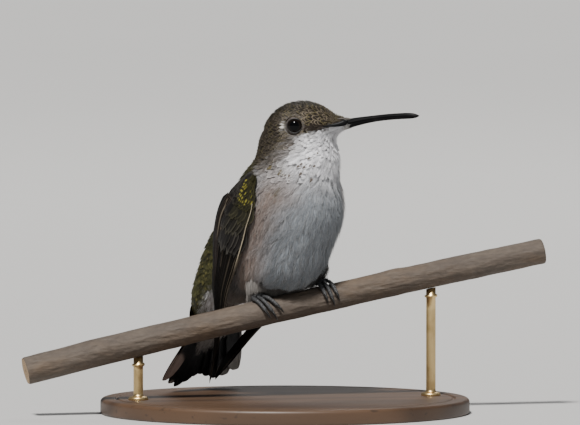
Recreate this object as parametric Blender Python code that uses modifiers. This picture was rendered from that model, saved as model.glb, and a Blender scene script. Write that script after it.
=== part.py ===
"""A life-size hummingbird sitting upright on a short twig, which two rods carry over a round base.

The bird is a female of a small North American kind, about 90 mm long with its bill. Sizes below are
in millimetres and angles in degrees; MM turns a finished shape into metres. +X runs along the twig
towards its raised end, -Y is the front, +Z is up, and the origin lies under the base's centre.
"""

from math import cos, radians, sin

import bmesh
import bpy
import numpy as np
from mathutils import Vector

MM = 0.001
GAP = 0.35  # clear space between neighbouring solids

# The stand and the twig.
BASE_RADIUS = 42.0
BASE_THICKNESS = 3.5
BASE_EDGE = 0.8  # width of the rounded rim
ROD_RADIUS = 1.1
ROD_PLACES = {"stand_rod_low": -34.0, "stand_rod_high": 34.0}  # along the twig
TWIG_ENDS = (-60.0, 60.2)
TWIG_HEIGHT = 24.0  # of its middle line, over the base's centre
TWIG_SLOPE = 0.215  # rise for each unit along X, at the middle
TWIG_BEND = -0.0002  # change of that slope with X
TWIG_RADII = (3.25, 2.95)  # at the low and the high end

# How the bird sits. A yaw of 0 faces -Y, 90 faces +X; a pitch lifts what faces forward.
TRUNK_YAW, TRUNK_PITCH = 30.0, -29.0
HEAD_YAW, HEAD_PITCH = 58.0, 6.0
TAIL_YAW, TAIL_PITCH, TAIL_ROLL = 42.0, -31.0, 15.0  # the tail is swung and twisted to the bird's left
TRUNK_CENTRE = (-1.5, 5.2, 40.1)
HEAD_CENTRE = (2.6, -3.1, 62.8)
TAIL_APEX = (-7.6, 1.0, -19.1)  # forward, right and up from the trunk's centre

# The bill, from the edge of the face's feathers.
BILL_LENGTH = 17.4
BILL_BASE_DEPTH, BILL_MID_DEPTH = 2.2, 1.35
BILL_BASE_WIDTH, BILL_MID_WIDTH = 2.3, 1.3
BILL_RISE, BILL_DROOP = 0.135, 0.12  # it leaves the face rising, and curves down

EYE_RADIUS = 2.3
EYE_PLACE = (1.2, 4.75, 2.8)  # forward, outward and up from the head's centre

TAIL_FEATHERS = 5  # on each side
TAIL_SPREAD = 34.0  # from the middle line to the outermost feather's own line
TAIL_LENGTHS = (24.4, 25.2, 26.0, 25.2, 24.2)  # from the middle feather outwards
TAIL_THICKNESS = 0.7
COVERTS_LENGTH, COVERTS_HALF_WIDTH = 11.0, 5.4
TAIL_ROOT = 7.0  # where the feathers leave the rump, from the fan's apex

TOE_RADIUS, CLAW_TIP_RADIUS = 0.4, 0.25
TOE_CLEARANCE = 0.3
SHANK_RADIUS, SHANK_LENGTH = 0.48, 3.4
SHANK_LEANS = {"right": (-0.1, 0.5, 1.0), "left": (-1.0, 0.0, -0.26)}  # from the foot towards the body
TWIG_ROOM = 0.95  # how far the belly's feathers stay off the twig
FOOT_ROOM = 1.1  # how much further the feathers stay off the twig beside a foot
FEET = {  # the foot's place along the twig; each claw's from there, and its angle round the twig
    "right": (-5.6, {"outer": (1.4, 118), "middle": (2.9, 127), "inner": (4.6, 104), "hind": (-0.6, -122)}),
    "left": (9.6, {"inner": (-0.5, 106), "middle": (0.9, 127), "outer": (2.2, 108), "hind": (-0.4, -122)}),
}
TOE_STARTS = {"outer": 1.2, "middle": 0.0, "inner": -1.2, "hind": 0.2}  # away from the body's middle

FINISHES = {  # base colour, roughness, metallic
    "olive": ((0.13, 0.12, 0.06), 0.5, 0.0),
    "buff_grey": ((0.50, 0.47, 0.43), 0.8, 0.0),
    "dusky": ((0.035, 0.03, 0.03), 0.45, 0.0),
    "horn": ((0.012, 0.012, 0.014), 0.3, 0.0),
    "eye": ((0.005, 0.004, 0.006), 0.05, 0.0),
    "bark": ((0.30, 0.24, 0.19), 0.85, 0.0),
    "walnut": ((0.12, 0.07, 0.045), 0.4, 0.0),
    "brass": ((0.65, 0.48, 0.22), 0.3, 1.0),
}


# ---- scene and mesh helpers ----


def clear_scene():
    for obj in list(bpy.data.objects):
        bpy.data.objects.remove(obj)


def collection(name, rendered=True):
    found = bpy.data.collections.new(name)
    bpy.context.scene.collection.children.link(found)
    found.hide_render = not rendered
    return found


def material(part, finish):
    colour, roughness, metallic = FINISHES[finish]
    made = bpy.data.materials.new(f"{part} {finish}")
    made.use_nodes = True
    shader = made.node_tree.nodes["Principled BSDF"]
    shader.inputs["Base Color"].default_value = (*colour, 1.0)
    shader.inputs["Roughness"].default_value = roughness
    shader.inputs["Metallic"].default_value = metallic
    return made


def add_mesh(name, work, finish, group, sharp_angle=40.0):
    """Turns a bmesh in millimetres into a named object in metres."""
    bmesh.ops.recalc_face_normals(work, faces=work.faces)
    bmesh.ops.scale(work, vec=(MM, MM, MM), verts=work.verts)
    mesh = bpy.data.meshes.new(name)
    work.to_mesh(mesh)
    work.free()
    mesh.shade_smooth()
    mesh.set_sharp_from_angle(angle=radians(sharp_angle))
    mesh.materials.append(material(name, finish))
    obj = bpy.data.objects.new(name, mesh)
    group.objects.link(obj)
    return obj


def loft(name, rings, finish, group, sharp_angle=40.0):
    """A closed skin through rings of equally many points, with a flat cap at each end."""
    work = bmesh.new()
    rows = [[work.verts.new(point) for point in ring] for ring in rings]
    for near, far in zip(rows, rows[1:]):
        for j in range(len(near)):
            k = (j + 1) % len(near)
            work.faces.new((near[j], near[k], far[k], far[j]))
    work.faces.new(rows[0])
    work.faces.new(rows[-1])
    return add_mesh(name, work, finish, group, sharp_angle)


def subtract(obj, cutter):
    cut = obj.modifiers.new("cut by " + cutter.name, "BOOLEAN")
    cut.operation = "DIFFERENCE"
    cut.object = cutter
    cutter.hide_render = True
    cutter.display_type = "WIRE"


def heading(yaw):
    return np.array((sin(radians(yaw)), -cos(radians(yaw)), 0.0))


def unit(v):
    v = np.asarray(v, float)
    return v / np.linalg.norm(v, axis=-1, keepdims=True)


def ease(x):
    x = np.clip(x, 0.0, 1.0)
    return x * x * (3 - 2 * x)


def between(t, *values):
    """A smooth curve through values spaced evenly over t from 0 to 1."""
    values = np.asarray(values, float)
    place = np.clip(np.asarray(t, float), 0, 1) * (len(values) - 1)
    i = np.minimum(place.astype(int), len(values) - 2)
    u = place - i
    slope = np.gradient(values, axis=0)
    if values.ndim == 2:
        u = u[..., None]
    a, b, da, db = values[i], values[i + 1], slope[i], slope[i + 1]
    hermite = (2 * u**3 - 3 * u**2 + 1) * a + (u**3 - 2 * u**2 + u) * da
    return hermite + (3 * u**2 - 2 * u**3) * b + (u**3 - u**2) * db


class Frame:
    """A place on the bird with its own forward, right and up directions."""

    def __init__(self, origin, yaw, pitch, roll=0.0):
        level, side = heading(yaw), heading(yaw - 90)
        forward = cos(radians(pitch)) * level + sin(radians(pitch)) * np.array((0, 0, 1.0))
        right = cos(radians(roll)) * side - sin(radians(roll)) * np.cross(side, forward)
        self.origin = np.array(origin, float)
        self.axes = np.array((forward, right, np.cross(right, forward)))

    def at(self, forward, right, up):
        return self.origin + np.stack(np.broadcast_arrays(forward, right, up), -1) @ self.axes

    def local(self, points):
        return (points - self.origin) @ self.axes.T


SIDES = {"right": 1, "left": -1}
TRUNK = Frame(TRUNK_CENTRE, TRUNK_YAW, TRUNK_PITCH)
HEAD = Frame(HEAD_CENTRE, HEAD_YAW, HEAD_PITCH)
TAIL = Frame(TRUNK.at(*TAIL_APEX), TAIL_YAW, TAIL_PITCH, TAIL_ROLL)


# ---- the twig and its stand ----


def twig_centre(x):
    x = np.asarray(x, float)
    return np.stack([x, np.zeros_like(x), TWIG_HEIGHT + TWIG_SLOPE * x + TWIG_BEND * x * x], -1)


def twig_radius(x):
    return np.interp(x, TWIG_ENDS, TWIG_RADII)


def twig_axes(x):
    """The twig's own direction at x, with the two directions square to it: up and front."""
    along = unit(twig_centre(x + 0.5) - twig_centre(x - 0.5))
    front = np.array((0, -1.0, 0))
    return along, np.cross(front, along), front


def round_twig(x, angle, clearance):
    """A point over the twig's surface; an angle of 0 is on top and 90 is at the front."""
    along, up, front = twig_axes(x)
    reach = twig_radius(x) + clearance
    return twig_centre(x) + reach * (cos(radians(angle)) * up + sin(radians(angle)) * front)


def make_twig(group, name="perch", grow=0.0, rings=17, sides=18):
    stations = np.linspace(*TWIG_ENDS, rings)
    turns = np.arange(sides) * 360.0 / sides
    rows = [[round_twig(x, a, grow) for a in turns] for x in stations]
    return loft(name, rows, "bark", group)


def make_base(group):
    work = bmesh.new()
    bmesh.ops.create_cone(
        work, cap_ends=True, segments=48, radius1=BASE_RADIUS, radius2=BASE_RADIUS, depth=BASE_THICKNESS
    )
    bmesh.ops.translate(work, vec=(0, 0, BASE_THICKNESS / 2), verts=work.verts)
    base = add_mesh("stand_base", work, "walnut", group)
    rim = base.modifiers.new("rounded rim", "BEVEL")
    rim.width = BASE_EDGE * MM
    rim.segments = 2
    rim.limit_method = "ANGLE"


def make_rods(group, cutters):
    """Each rod ends just under the twig, in a hollow that follows the twig's own curve."""
    clearance = make_twig(cutters, "twig_clearance", grow=GAP, rings=33)
    for name, x in ROD_PLACES.items():
        top = twig_centre(x)[2]
        bottom = BASE_THICKNESS + GAP
        work = bmesh.new()
        bmesh.ops.create_cone(
            work, cap_ends=True, segments=16, radius1=ROD_RADIUS, radius2=ROD_RADIUS, depth=top - bottom
        )
        bmesh.ops.translate(work, vec=(x, 0, (top + bottom) / 2), verts=work.verts)
        subtract(add_mesh(name, work, "brass", group), clearance)


# ---- the feathered body ----

BLEND = 1.3  # how softly neighbouring forms run together
FORMS = (  # frame, centre and half sizes, each forward, right and up in that frame
    (HEAD, (0.8, 0.0, 2.6), (7.5, 6.5, 5.7)),  # crown and nape
    (HEAD, (4.9, 0.0, 2.2), (8.7, 3.2, 2.0)),  # forehead, lores and chin
    (HEAD, (2.2, 0.0, -5.0), (5.7, 6.4, 4.9)),  # throat
    (TRUNK, (-1.7, 0.0, 20.1), (10.0, 8.3, 7.3)),  # neck
    (TRUNK, (1.3, 0.0, 8.2), (13.1, 12.4, 13.5)),  # breast and shoulders
    (TRUNK, (0.3, 0.0, -0.7), (14.8, 11.3, 13.4)),  # belly and back
    (TRUNK, (-5.3, 0.3, -9.7), (8.9, 9.7, 10.2)),  # flanks
    (TAIL, (-1.4, 0.0, 0.8), (4.9, 7.6, 11.3)),  # rump
)


def body_distance(points):
    """How far points lie outside the plumage, negative inside it."""
    total = np.zeros(points.shape[:-1])
    for frame, centre, half in FORMS:
        half = np.array(half)
        scaled = (frame.local(points) - centre) / half
        near = np.linalg.norm(scaled, axis=-1) + 1e-6
        steep = np.linalg.norm(scaled / half, axis=-1) + 1e-6
        total += np.exp(-near * (near - 1) / steep / BLEND)
    return -BLEND * np.log(total)


def twig_intrusion(points):
    """How far points reach into the space that the twig and the feet need, positive inside it."""
    x = np.clip(points[..., 0], *TWIG_ENDS)
    foot = np.min([np.abs(x - place) for place, _ in FEET.values()], axis=0)
    room = TWIG_ROOM + FOOT_ROOM * ease((6.0 - foot) / 2.5)
    slope = TWIG_SLOPE + 2 * TWIG_BEND * x
    off = points - twig_centre(x)
    distance = np.hypot(off[..., 1], off[..., 2] / np.sqrt(1 + slope * slope))
    return twig_radius(x) + room - distance


SPINE = np.array(
    [
        HEAD.at(11.6, 0, 2.1),
        HEAD.at(6.0, 0, 2.0),
        HEAD.at(0.8, 0, -0.5),
        TRUNK.at(-1.2, 0, 17.0),
        TRUNK.at(-0.4, 0, 8.5),
        TRUNK.at(0.0, 0, 0.0),
        TRUNK.at(-1.2, 0, -8.5),
        TAIL.at(0.6, 0, 1.5),
        TAIL.at(-0.2, 0, -TAIL_ROOT + GAP),
    ]
)
SPINE_STEPS = {"head": (0.0, 0.36, 15), "neck": (0.36, 0.47, 5), "trunk": (0.47, 0.84, 14), "rump": (0.84, 1.0, 7)}
BODY_SIDES = 30


def spine_planes(t):
    """For each place along the spine: its centre, and the plane's ventral and right directions."""
    centre = between(t, *SPINE)
    tangent = unit(between(t + 0.004, *SPINE) - between(t - 0.004, *SPINE))
    turn = ease(t / 0.45)[:, None]
    belly = -HEAD.axes[2] * (1 - turn) + TRUNK.axes[0] * turn
    ventral = unit(belly - (belly * tangent).sum(-1, keepdims=True) * tangent)
    return centre, ventral, np.cross(ventral, tangent)


def body_rings(t, sides):
    """Rings of points on the plumage, found from each spine plane's centre outwards."""
    centre, ventral, right = spine_planes(t)
    turn = np.arange(sides) * 2 * np.pi / sides
    ray = ventral[:, None] * np.cos(turn)[:, None] + right[:, None] * np.sin(turn)[:, None]
    inner, outer = np.zeros(ray.shape[:-1]), np.full(ray.shape[:-1], 26.0)
    for _ in range(26):
        middle = (inner + outer) / 2
        points = centre[:, None] + ray * middle[..., None]
        outside = np.maximum(body_distance(points), twig_intrusion(points)) > 0
        outer = np.where(outside, middle, outer)
        inner = np.where(outside, inner, middle)
    return centre[:, None] + ray * inner[..., None]


def make_body(group, cutters):
    spine_length = np.linalg.norm(np.diff(between(np.linspace(0, 1, 200), *SPINE), axis=0), axis=1).sum()
    half_gap = GAP / 2 / spine_length
    parts = {}
    for name, (start, end, rings) in SPINE_STEPS.items():
        first = start if start == 0 else start + half_gap
        last = end if end == 1 else end - half_gap
        finish = "buff_grey" if name in ("neck", "trunk") else "olive"
        parts[name] = loft(name, body_rings(np.linspace(first, last, rings), BODY_SIDES), finish, group, 60)
    for side, sign in SIDES.items():
        forward, out, up = EYE_PLACE
        place = HEAD.at(forward, sign * out, up)
        make_ball("eye_" + side, place, EYE_RADIUS, "eye", group)
        subtract(parts["head"], make_ball("eye_socket_" + side, place, EYE_RADIUS + GAP, "eye", cutters))


def make_ball(name, centre, radius, finish, group):
    work = bmesh.new()
    bmesh.ops.create_uvsphere(work, u_segments=14, v_segments=9, radius=radius)
    bmesh.ops.translate(work, vec=Vector(centre), verts=work.verts)
    return add_mesh(name, work, finish, group, 80)


# ---- bill ----


def make_bill(group):
    """Two long halves that part along the mouth's line, each a row of half-round rings."""
    root = HEAD.at(11.6 + GAP, 0, 2.1)
    t = np.linspace(0, 1, 13)
    rise = BILL_LENGTH * (BILL_RISE * t - BILL_DROOP * t * t)
    middle = root + (BILL_LENGTH * t)[:, None] * HEAD.axes[0] + rise[:, None] * HEAD.axes[2]
    taper = 1 - 0.78 * ease((t - 0.84) / 0.16)
    depth = between(t, BILL_BASE_DEPTH, BILL_MID_DEPTH * 1.1, BILL_MID_DEPTH, BILL_MID_DEPTH) / 2 * taper
    width = between(t, BILL_BASE_WIDTH, BILL_MID_WIDTH * 1.1, BILL_MID_WIDTH, BILL_MID_WIDTH * 0.95) / 2 * taper
    turn = np.linspace(0, np.pi, 7)
    for name, way in (("bill_upper", 1), ("bill_lower", -1)):
        last = len(t) if way > 0 else len(t) - 1  # the upper half's tip reaches past the lower
        rings = [
            middle[i]
            + way * (0.1 + depth[i] * np.sin(turn))[:, None] * HEAD.axes[2]
            + (width[i] * np.cos(turn))[:, None] * HEAD.axes[1]
            for i in range(last)
        ]
        loft(name, rings, "horn", group, 60)


# ---- wings ----

WING_STATIONS = (  # up the trunk, out to the side, and forward at the leading and the trailing edge
    (15.0, 9.6, -1.2, -3.2),
    (10.0, 11.6, 2.9, -5.2),
    (4.0, 12.0, 3.4, -6.2),
    (-2.0, 11.7, 3.5, -5.2),
    (-8.0, 10.8, 3.0, -3.7),
    (-14.0, 9.5, 2.3, -2.6),
    (-20.0, 7.5, 1.6, -1.6),
    (-26.5, 5.3, 1.0, -1.2),
    (-33.0, 3.7, 0.6, -0.6),
    (-39.5, 2.4, 0.2, 0.0),
)
WING_TIP_SHIFT = {"right": (0.0, 0.0), "left": (-2.4, -1.0)}  # outward and forward, at the very tip
WING_LEAST_THICKNESS = 0.6
COVERTS_END = 0.36  # share of the wing's length
SECONDARIES_END = 0.64
SECONDARIES_FRONT = 0.6  # share of the wing's width, from the leading edge


def lift_off_body(points, clearance):
    """Moves points that lie nearer than clearance to the plumage straight out of it."""
    for _ in range(6):
        short = np.maximum(clearance - body_distance(points), 0)
        step = 0.05
        slope = np.stack(
            [body_distance(points + axis * step) - body_distance(points - axis * step) for axis in np.eye(3)], -1
        )
        points = points + unit(slope) * short[..., None]
    return points


def wing_point(span, chord, side):
    """A point on the wing's inner face: span runs from shoulder to tip, chord from front to rear."""
    up, out, lead, trail = between(span, *WING_STATIONS).T
    outward, onward = np.outer(WING_TIP_SHIFT[side], ease((span - 0.6) / 0.4))
    arch = np.sin(np.pi * chord) * 0.08 * (lead - trail)
    points = TRUNK.at(lead + (trail - lead) * chord + onward, SIDES[side] * (out + arch + outward), up)
    return lift_off_body(points, GAP)


def wing_blade(name, side, span, chord, thick, finish, group, rings, across):
    """A curved plate over part of the wing. thick gives its thickness at the start and the end."""
    chord_line = np.linspace(chord[0], chord[1], across)
    rows = []
    for t in np.linspace(0, 1, rings):
        place = span[0] + (span[1] - span[0]) * t
        inner = wing_point(np.full(across, place), chord_line, side)
        outward = unit(inner - TRUNK.at(0, 0, TRUNK.local(inner)[:, 2]))
        crown = np.sin(np.pi * np.linspace(0.12, 0.88, across))
        depth = WING_LEAST_THICKNESS + (thick[0] + (thick[1] - thick[0]) * t) * crown
        outer = inner + outward * depth[:, None]
        rows.append(np.concatenate([inner, outer[::-1]]))
    return loft(name, rows, finish, group, 50)


def make_wings(group):
    gap = GAP / 55
    for side in SIDES:
        wing = "wing_" + side
        wing_blade(wing + "_coverts", side, (0.0, COVERTS_END), (0.0, 1.0), (0.9, 1.1), "olive", group, 8, 9)
        start = COVERTS_END + gap
        front = SECONDARIES_FRONT
        wing_blade(wing + "_primaries", side, (start, 0.995), (0.0, front), (0.7, 0.1), "dusky", group, 15, 6)
        wing_blade(
            wing + "_secondaries", side, (start, SECONDARIES_END), (front + 0.05, 1.0), (0.5, 0.1), "dusky", group, 7, 5
        )


# ---- tail ----


def tail_tip(angle):
    """The fan's length at an angle: each feather ends in its own blunt curve."""
    step = 2 * TAIL_SPREAD / (2 * TAIL_FEATHERS - 1)
    place = (np.asarray(angle) + TAIL_SPREAD) / step
    feather = np.clip(np.round(place), 0, 2 * TAIL_FEATHERS - 1)
    length = np.array(TAIL_LENGTHS[::-1] + TAIL_LENGTHS)[feather.astype(int)]
    return length - 1.8 * np.abs(2 * (place - feather)) ** 2.2


def fan(name, angles, far, forward, thickness, finish, group):
    """A plate in polar form about the tail's apex, made of slices side by side."""
    rows = []
    for angle in angles:
        reach = np.linspace(TAIL_ROOT / cos(radians(angle)), far(angle), 5)
        out = reach * sin(radians(angle))
        along = -reach * cos(radians(angle))
        hollow = forward + 0.004 * out**2
        lower = TAIL.at(hollow, out, along)
        upper = TAIL.at(hollow + thickness, out, along)
        rows.append(np.concatenate([lower, upper[::-1]]))
    loft(name, rows, finish, group, 50)


def make_tail(group):
    half_step = TAIL_SPREAD / (2 * TAIL_FEATHERS - 1)
    outer_edge = TAIL_SPREAD + half_step
    split = 2 * half_step
    for name, start, end, slices in (
        ("tail_right", split + 0.7, outer_edge, 20),
        ("tail_middle", -split + 0.7, split - 0.7, 9),
        ("tail_left", -outer_edge, -split - 0.7, 20),
    ):
        fan(name, np.linspace(start, end, slices), tail_tip, 0, TAIL_THICKNESS, "dusky", group)

    coverts("undertail_coverts", TAIL_THICKNESS + GAP, 2.2, "buff_grey", group)
    coverts("uppertail_coverts", -GAP, -3.2, "olive", group)


def coverts(name, forward, thickness, finish, group):
    """The soft feathers that run from the rump out over the fan's root, thinning to a rounded end."""
    rows = []
    for out in COVERTS_HALF_WIDTH * np.sin(radians(1) * np.linspace(-86, 86, 13)):
        t = np.linspace(0, 1, 6)
        reach = TAIL_ROOT + t * COVERTS_LENGTH * np.sqrt(1 - (out / COVERTS_HALF_WIDTH) ** 2)
        share = (reach - TAIL_ROOT) / COVERTS_LENGTH
        edge = np.sqrt(1 - 0.8 * (out / COVERTS_HALF_WIDTH) ** 2)
        inner = forward + 0.004 * out**2
        outer = inner + np.sign(thickness) * np.maximum(abs(thickness) * edge * (1 - share) ** 1.3, 0.55)
        near, far = TAIL.at(inner, out, -reach), TAIL.at(outer, out, -reach)
        rows.append(np.concatenate([near, far[::-1]]))
    loft(name, rows, finish, group, 50)


# ---- legs ----

def tube(name, points, radii, group, sides=8):
    """A round limb through points, with its own radius at each."""
    points = np.asarray(points, float)
    tangent = unit(np.gradient(points, axis=0))
    across = unit(np.cross(tangent, (0.3, 0.2, 1.0)))
    over = np.cross(across, tangent)
    turn = np.arange(sides) * 2 * np.pi / sides
    rings = [
        p + r * (np.cos(turn)[:, None] * a + np.sin(turn)[:, None] * o)
        for p, r, a, o in zip(points, radii, across, over)
    ]
    return loft(name, rings, "horn", group, 60)


def make_legs(group):
    for side, (x, toes) in FEET.items():
        for toe, (reach, last) in toes.items():
            start = -SIDES[side] * TOE_STARTS[toe]
            first = 10 if last > 0 else -26
            t = np.linspace(0, 1, 9)
            radii = TOE_RADIUS + (CLAW_TIP_RADIUS - TOE_RADIUS) * ease((t - 0.6) / 0.4)
            over = TOE_CLEARANCE + radii + 0.5 * np.sin(np.pi * np.clip(2 * t - 1, 0, 1))
            points = [
                round_twig(x + start + (reach - start) * ti, first + (last - first) * ti, c) for ti, c in zip(t, over)
            ]
            tube(f"toe_{side}_{toe}", points, radii, group)
        make_shank(side, round_twig(x, -8, 0.95), group)


def make_shank(side, foot, group):
    """The bare leg, from over the foot back to where it meets the belly's feathers."""
    onward = unit(SHANK_LEANS[side])
    reach = np.linspace(0.8, SHANK_LENGTH, 60)
    points = foot + reach[:, None] * onward
    clear = np.maximum(body_distance(points), twig_intrusion(points)) > SHANK_RADIUS + GAP
    end = SHANK_LENGTH if clear.all() else reach[np.argmin(clear)]
    t = np.linspace(0, 1, 5)
    radii = SHANK_RADIUS * between(t, 1.15, 0.9, 1.0)
    tube("leg_" + side, foot + (end * t)[:, None] * onward, radii, group)


def main():
    clear_scene()
    bird = collection("hummingbird")
    cutters = collection("cutters", rendered=False)
    make_base(bird)
    make_twig(bird)
    make_rods(bird, cutters)
    make_body(bird, cutters)
    make_bill(bird)
    make_wings(bird)
    make_tail(bird)
    make_legs(bird)


main()
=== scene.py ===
"""The looks of a still, life-size hummingbird that grips a cut twig on a plain display stand.

One skin stands for the bird's flesh, and feathers are thin meshes laid over it in joined groups.
Lengths are in millimetres up to the point where a mesh is made, and named angles are in degrees.
X runs along the twig and Z is up.
"""

from math import cos, pi, radians, sin

import bpy
import numpy as np
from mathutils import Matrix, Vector, noise
from mathutils.kdtree import KDTree


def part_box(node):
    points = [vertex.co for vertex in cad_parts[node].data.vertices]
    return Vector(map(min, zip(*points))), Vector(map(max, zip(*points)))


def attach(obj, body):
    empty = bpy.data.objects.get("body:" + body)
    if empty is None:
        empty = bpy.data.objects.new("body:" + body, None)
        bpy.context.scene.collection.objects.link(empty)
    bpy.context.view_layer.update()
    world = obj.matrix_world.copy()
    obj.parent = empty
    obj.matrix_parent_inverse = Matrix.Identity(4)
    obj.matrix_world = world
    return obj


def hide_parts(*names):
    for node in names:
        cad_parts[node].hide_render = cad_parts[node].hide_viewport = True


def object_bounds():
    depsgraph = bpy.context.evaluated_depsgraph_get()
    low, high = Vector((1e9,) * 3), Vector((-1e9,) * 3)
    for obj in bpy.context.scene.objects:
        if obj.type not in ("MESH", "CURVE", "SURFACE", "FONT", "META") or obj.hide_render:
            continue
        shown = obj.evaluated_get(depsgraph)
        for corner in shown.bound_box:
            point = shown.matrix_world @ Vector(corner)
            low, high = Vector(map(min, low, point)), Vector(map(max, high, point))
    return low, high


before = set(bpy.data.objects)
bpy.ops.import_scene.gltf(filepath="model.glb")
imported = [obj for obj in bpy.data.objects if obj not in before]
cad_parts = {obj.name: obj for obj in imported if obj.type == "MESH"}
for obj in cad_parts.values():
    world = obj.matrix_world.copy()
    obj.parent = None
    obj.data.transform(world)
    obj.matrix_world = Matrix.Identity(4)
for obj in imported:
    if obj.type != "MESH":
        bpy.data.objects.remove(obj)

cad_low, cad_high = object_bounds()

MM = 0.001
GAP = 0.35  # clear space between neighbouring solids
RANDOM = np.random.default_rng(7)

# ---- named sizes, the same as in the part's own source ----

TWIG_ENDS = (-60.0, 60.2)
TWIG_HEIGHT = 24.0
TWIG_SLOPE = 0.215
TWIG_BEND = -0.0002
TWIG_RADII = (3.25, 2.95)
ROD_PLACES = {"stand_rod_low": -34.0, "stand_rod_high": 34.0}

TRUNK_YAW, TRUNK_PITCH = 30.0, -29.0
HEAD_YAW, HEAD_PITCH = 58.0, 6.0
TAIL_YAW, TAIL_PITCH, TAIL_ROLL = 42.0, -31.0, 15.0
TRUNK_CENTRE = (-1.5, 5.2, 40.1)
HEAD_CENTRE = (2.6, -3.1, 62.8)
TAIL_APEX = (-7.6, 1.0, -19.1)  # forward, right and up from the trunk's centre

FACE_REACH, BILL_HEIGHT = 11.6, 2.1  # the bill's foot, forward and up from the head's centre
BILL_LENGTH = 17.4
BILL_BASE_DEPTH, BILL_MID_DEPTH = 2.2, 1.35
BILL_BASE_WIDTH, BILL_MID_WIDTH = 2.3, 1.3
BILL_RISE, BILL_DROOP = 0.135, 0.12

EYE_RADIUS = 2.3
EYE_PLACE = (1.2, 4.75, 2.8)  # forward, outward and up from the head's centre

TAIL_FEATHERS = 5  # on each side
TAIL_SPREAD = 34.0
TAIL_LENGTHS = (24.4, 25.2, 26.0, 25.2, 24.2)  # from the middle feather outwards
TAIL_THICKNESS = 0.7
TAIL_ROOT = 7.0

FEET = {  # the foot's place along the twig; each claw's from there, and its angle round the twig
    "right": (-5.6, {"outer": (1.4, 118), "middle": (2.9, 127), "inner": (4.6, 104), "hind": (-0.6, -122)}),
    "left": (9.6, {"inner": (-0.5, 106), "middle": (0.9, 127), "outer": (2.2, 108), "hind": (-0.4, -122)}),
}
TOE_STARTS = {"outer": 1.2, "middle": 0.0, "inner": -1.2, "hind": 0.2}
TOE_RADIUS = 0.4
TOE_CLEARANCE = 0.3
SHANK_RADIUS, SHANK_LENGTH = 0.48, 3.4
SHANK_LEANS = {"right": (-0.1, 0.5, 1.0), "left": (-1.0, 0.0, -0.26)}
TWIG_ROOM = 0.95
FOOT_ROOM = 1.1
SIDES = {"right": 1, "left": -1}

WING_STATIONS = (  # up the trunk, out to the side, and forward at the leading and the trailing edge
    (15.0, 9.6, -1.2, -3.2),
    (10.0, 11.6, 2.9, -5.2),
    (4.0, 12.0, 3.4, -6.2),
    (-2.0, 11.7, 3.5, -5.2),
    (-8.0, 10.8, 3.0, -3.7),
    (-14.0, 9.5, 2.3, -2.6),
    (-20.0, 7.5, 1.6, -1.6),
    (-26.5, 5.3, 1.0, -1.2),
    (-33.0, 3.7, 0.6, -0.6),
    (-39.5, 2.4, 0.2, 0.0),
)
WING_TIP_SHIFT = {"right": (0.0, 0.0), "left": (-2.4, -1.0)}
WING_SPAN = 55.0  # length of the folded wing, from the bend to the tip

# ---- sizes of the coat ----

COAT_DEPTH = 0.55  # how far the skin lies inside the plumage
PATCH = 0.003  # size of each feather's patch on the unwrapped skin
FARTHEST_SKIN = 26.0  # farther out from the spine than the coat reaches anywhere
SKIN_HALVINGS = 18  # how often that reach is halved to find the coat
EYE_RIM = 1.92  # how near feathers come to the middle of the eye
SIDE_FROM = 3.0  # how far outward from the head's middle an eye's side of it begins
RIM_REACH = 6.25  # how far outward a feather may lie at an eye's rim
FLUFF_STRANDS = 520  # loose feathers over both feet
BRISTLES, BRISTLES_BENEATH = 150, 95  # at the bill's root, and how many of them lie under it

# ---- directions and curves ----


def heading(yaw):
    return np.array((sin(radians(yaw)), -cos(radians(yaw)), 0.0))


def unit(v):
    v = np.asarray(v, float)
    return v / np.maximum(np.linalg.norm(v, axis=-1, keepdims=True), 1e-9)


def ease(x):
    x = np.clip(x, 0.0, 1.0)
    return x * x * (3 - 2 * x)


def bell(x, centre, half_width):
    """1 at the centre, falling smoothly to 0 at half_width either side."""
    return ease(1 - np.abs(np.asarray(x) - centre) / half_width)


def dot(a, b):
    return (a * b).sum(-1, keepdims=True)


def level_with(way, out):
    """A direction turned so that it lies at right angles to the way out."""
    return unit(way - dot(way, out) * out)


def full_turn(sides):
    return np.arange(sides) * 2 * pi / sides


def round_about(turn, first, second):
    """Ways out at these turns, from the first direction round towards the second."""
    return np.cos(turn)[:, None] * first + np.sin(turn)[:, None] * second


def rounded_end(t, start):
    """1 up to start, then falling like a quarter circle almost to 0 at the end."""
    return np.sqrt(np.clip(1 - np.clip((t - start) / (1 - start), 0, 1) ** 2, 0.0004, 1))


def between(t, *values):
    """A smooth curve through values spaced evenly over t from 0 to 1."""
    values = np.asarray(values, float)
    place = np.clip(np.asarray(t, float), 0, 1) * (len(values) - 1)
    i = np.minimum(place.astype(int), len(values) - 2)
    u = place - i
    slope = np.gradient(values, axis=0)
    if values.ndim == 2:
        u = u[..., None]
    a, b, da, db = values[i], values[i + 1], slope[i], slope[i + 1]
    hermite = (2 * u**3 - 3 * u**2 + 1) * a + (u**3 - 2 * u**2 + u) * da
    return hermite + (3 * u**2 - 2 * u**3) * b + (u**3 - u**2) * db


class Frame:
    """A place on the bird with its own forward, right and up directions."""

    def __init__(self, origin, yaw, pitch, roll=0.0):
        level, side = heading(yaw), heading(yaw - 90)
        forward = cos(radians(pitch)) * level + sin(radians(pitch)) * np.array((0, 0, 1.0))
        right = cos(radians(roll)) * side - sin(radians(roll)) * np.cross(side, forward)
        self.origin = np.array(origin, float)
        self.axes = np.array((forward, right, np.cross(right, forward)))

    def at(self, forward, right, up):
        return self.origin + np.stack(np.broadcast_arrays(forward, right, up), -1) @ self.axes

    def local(self, points):
        return (points - self.origin) @ self.axes.T


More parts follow.
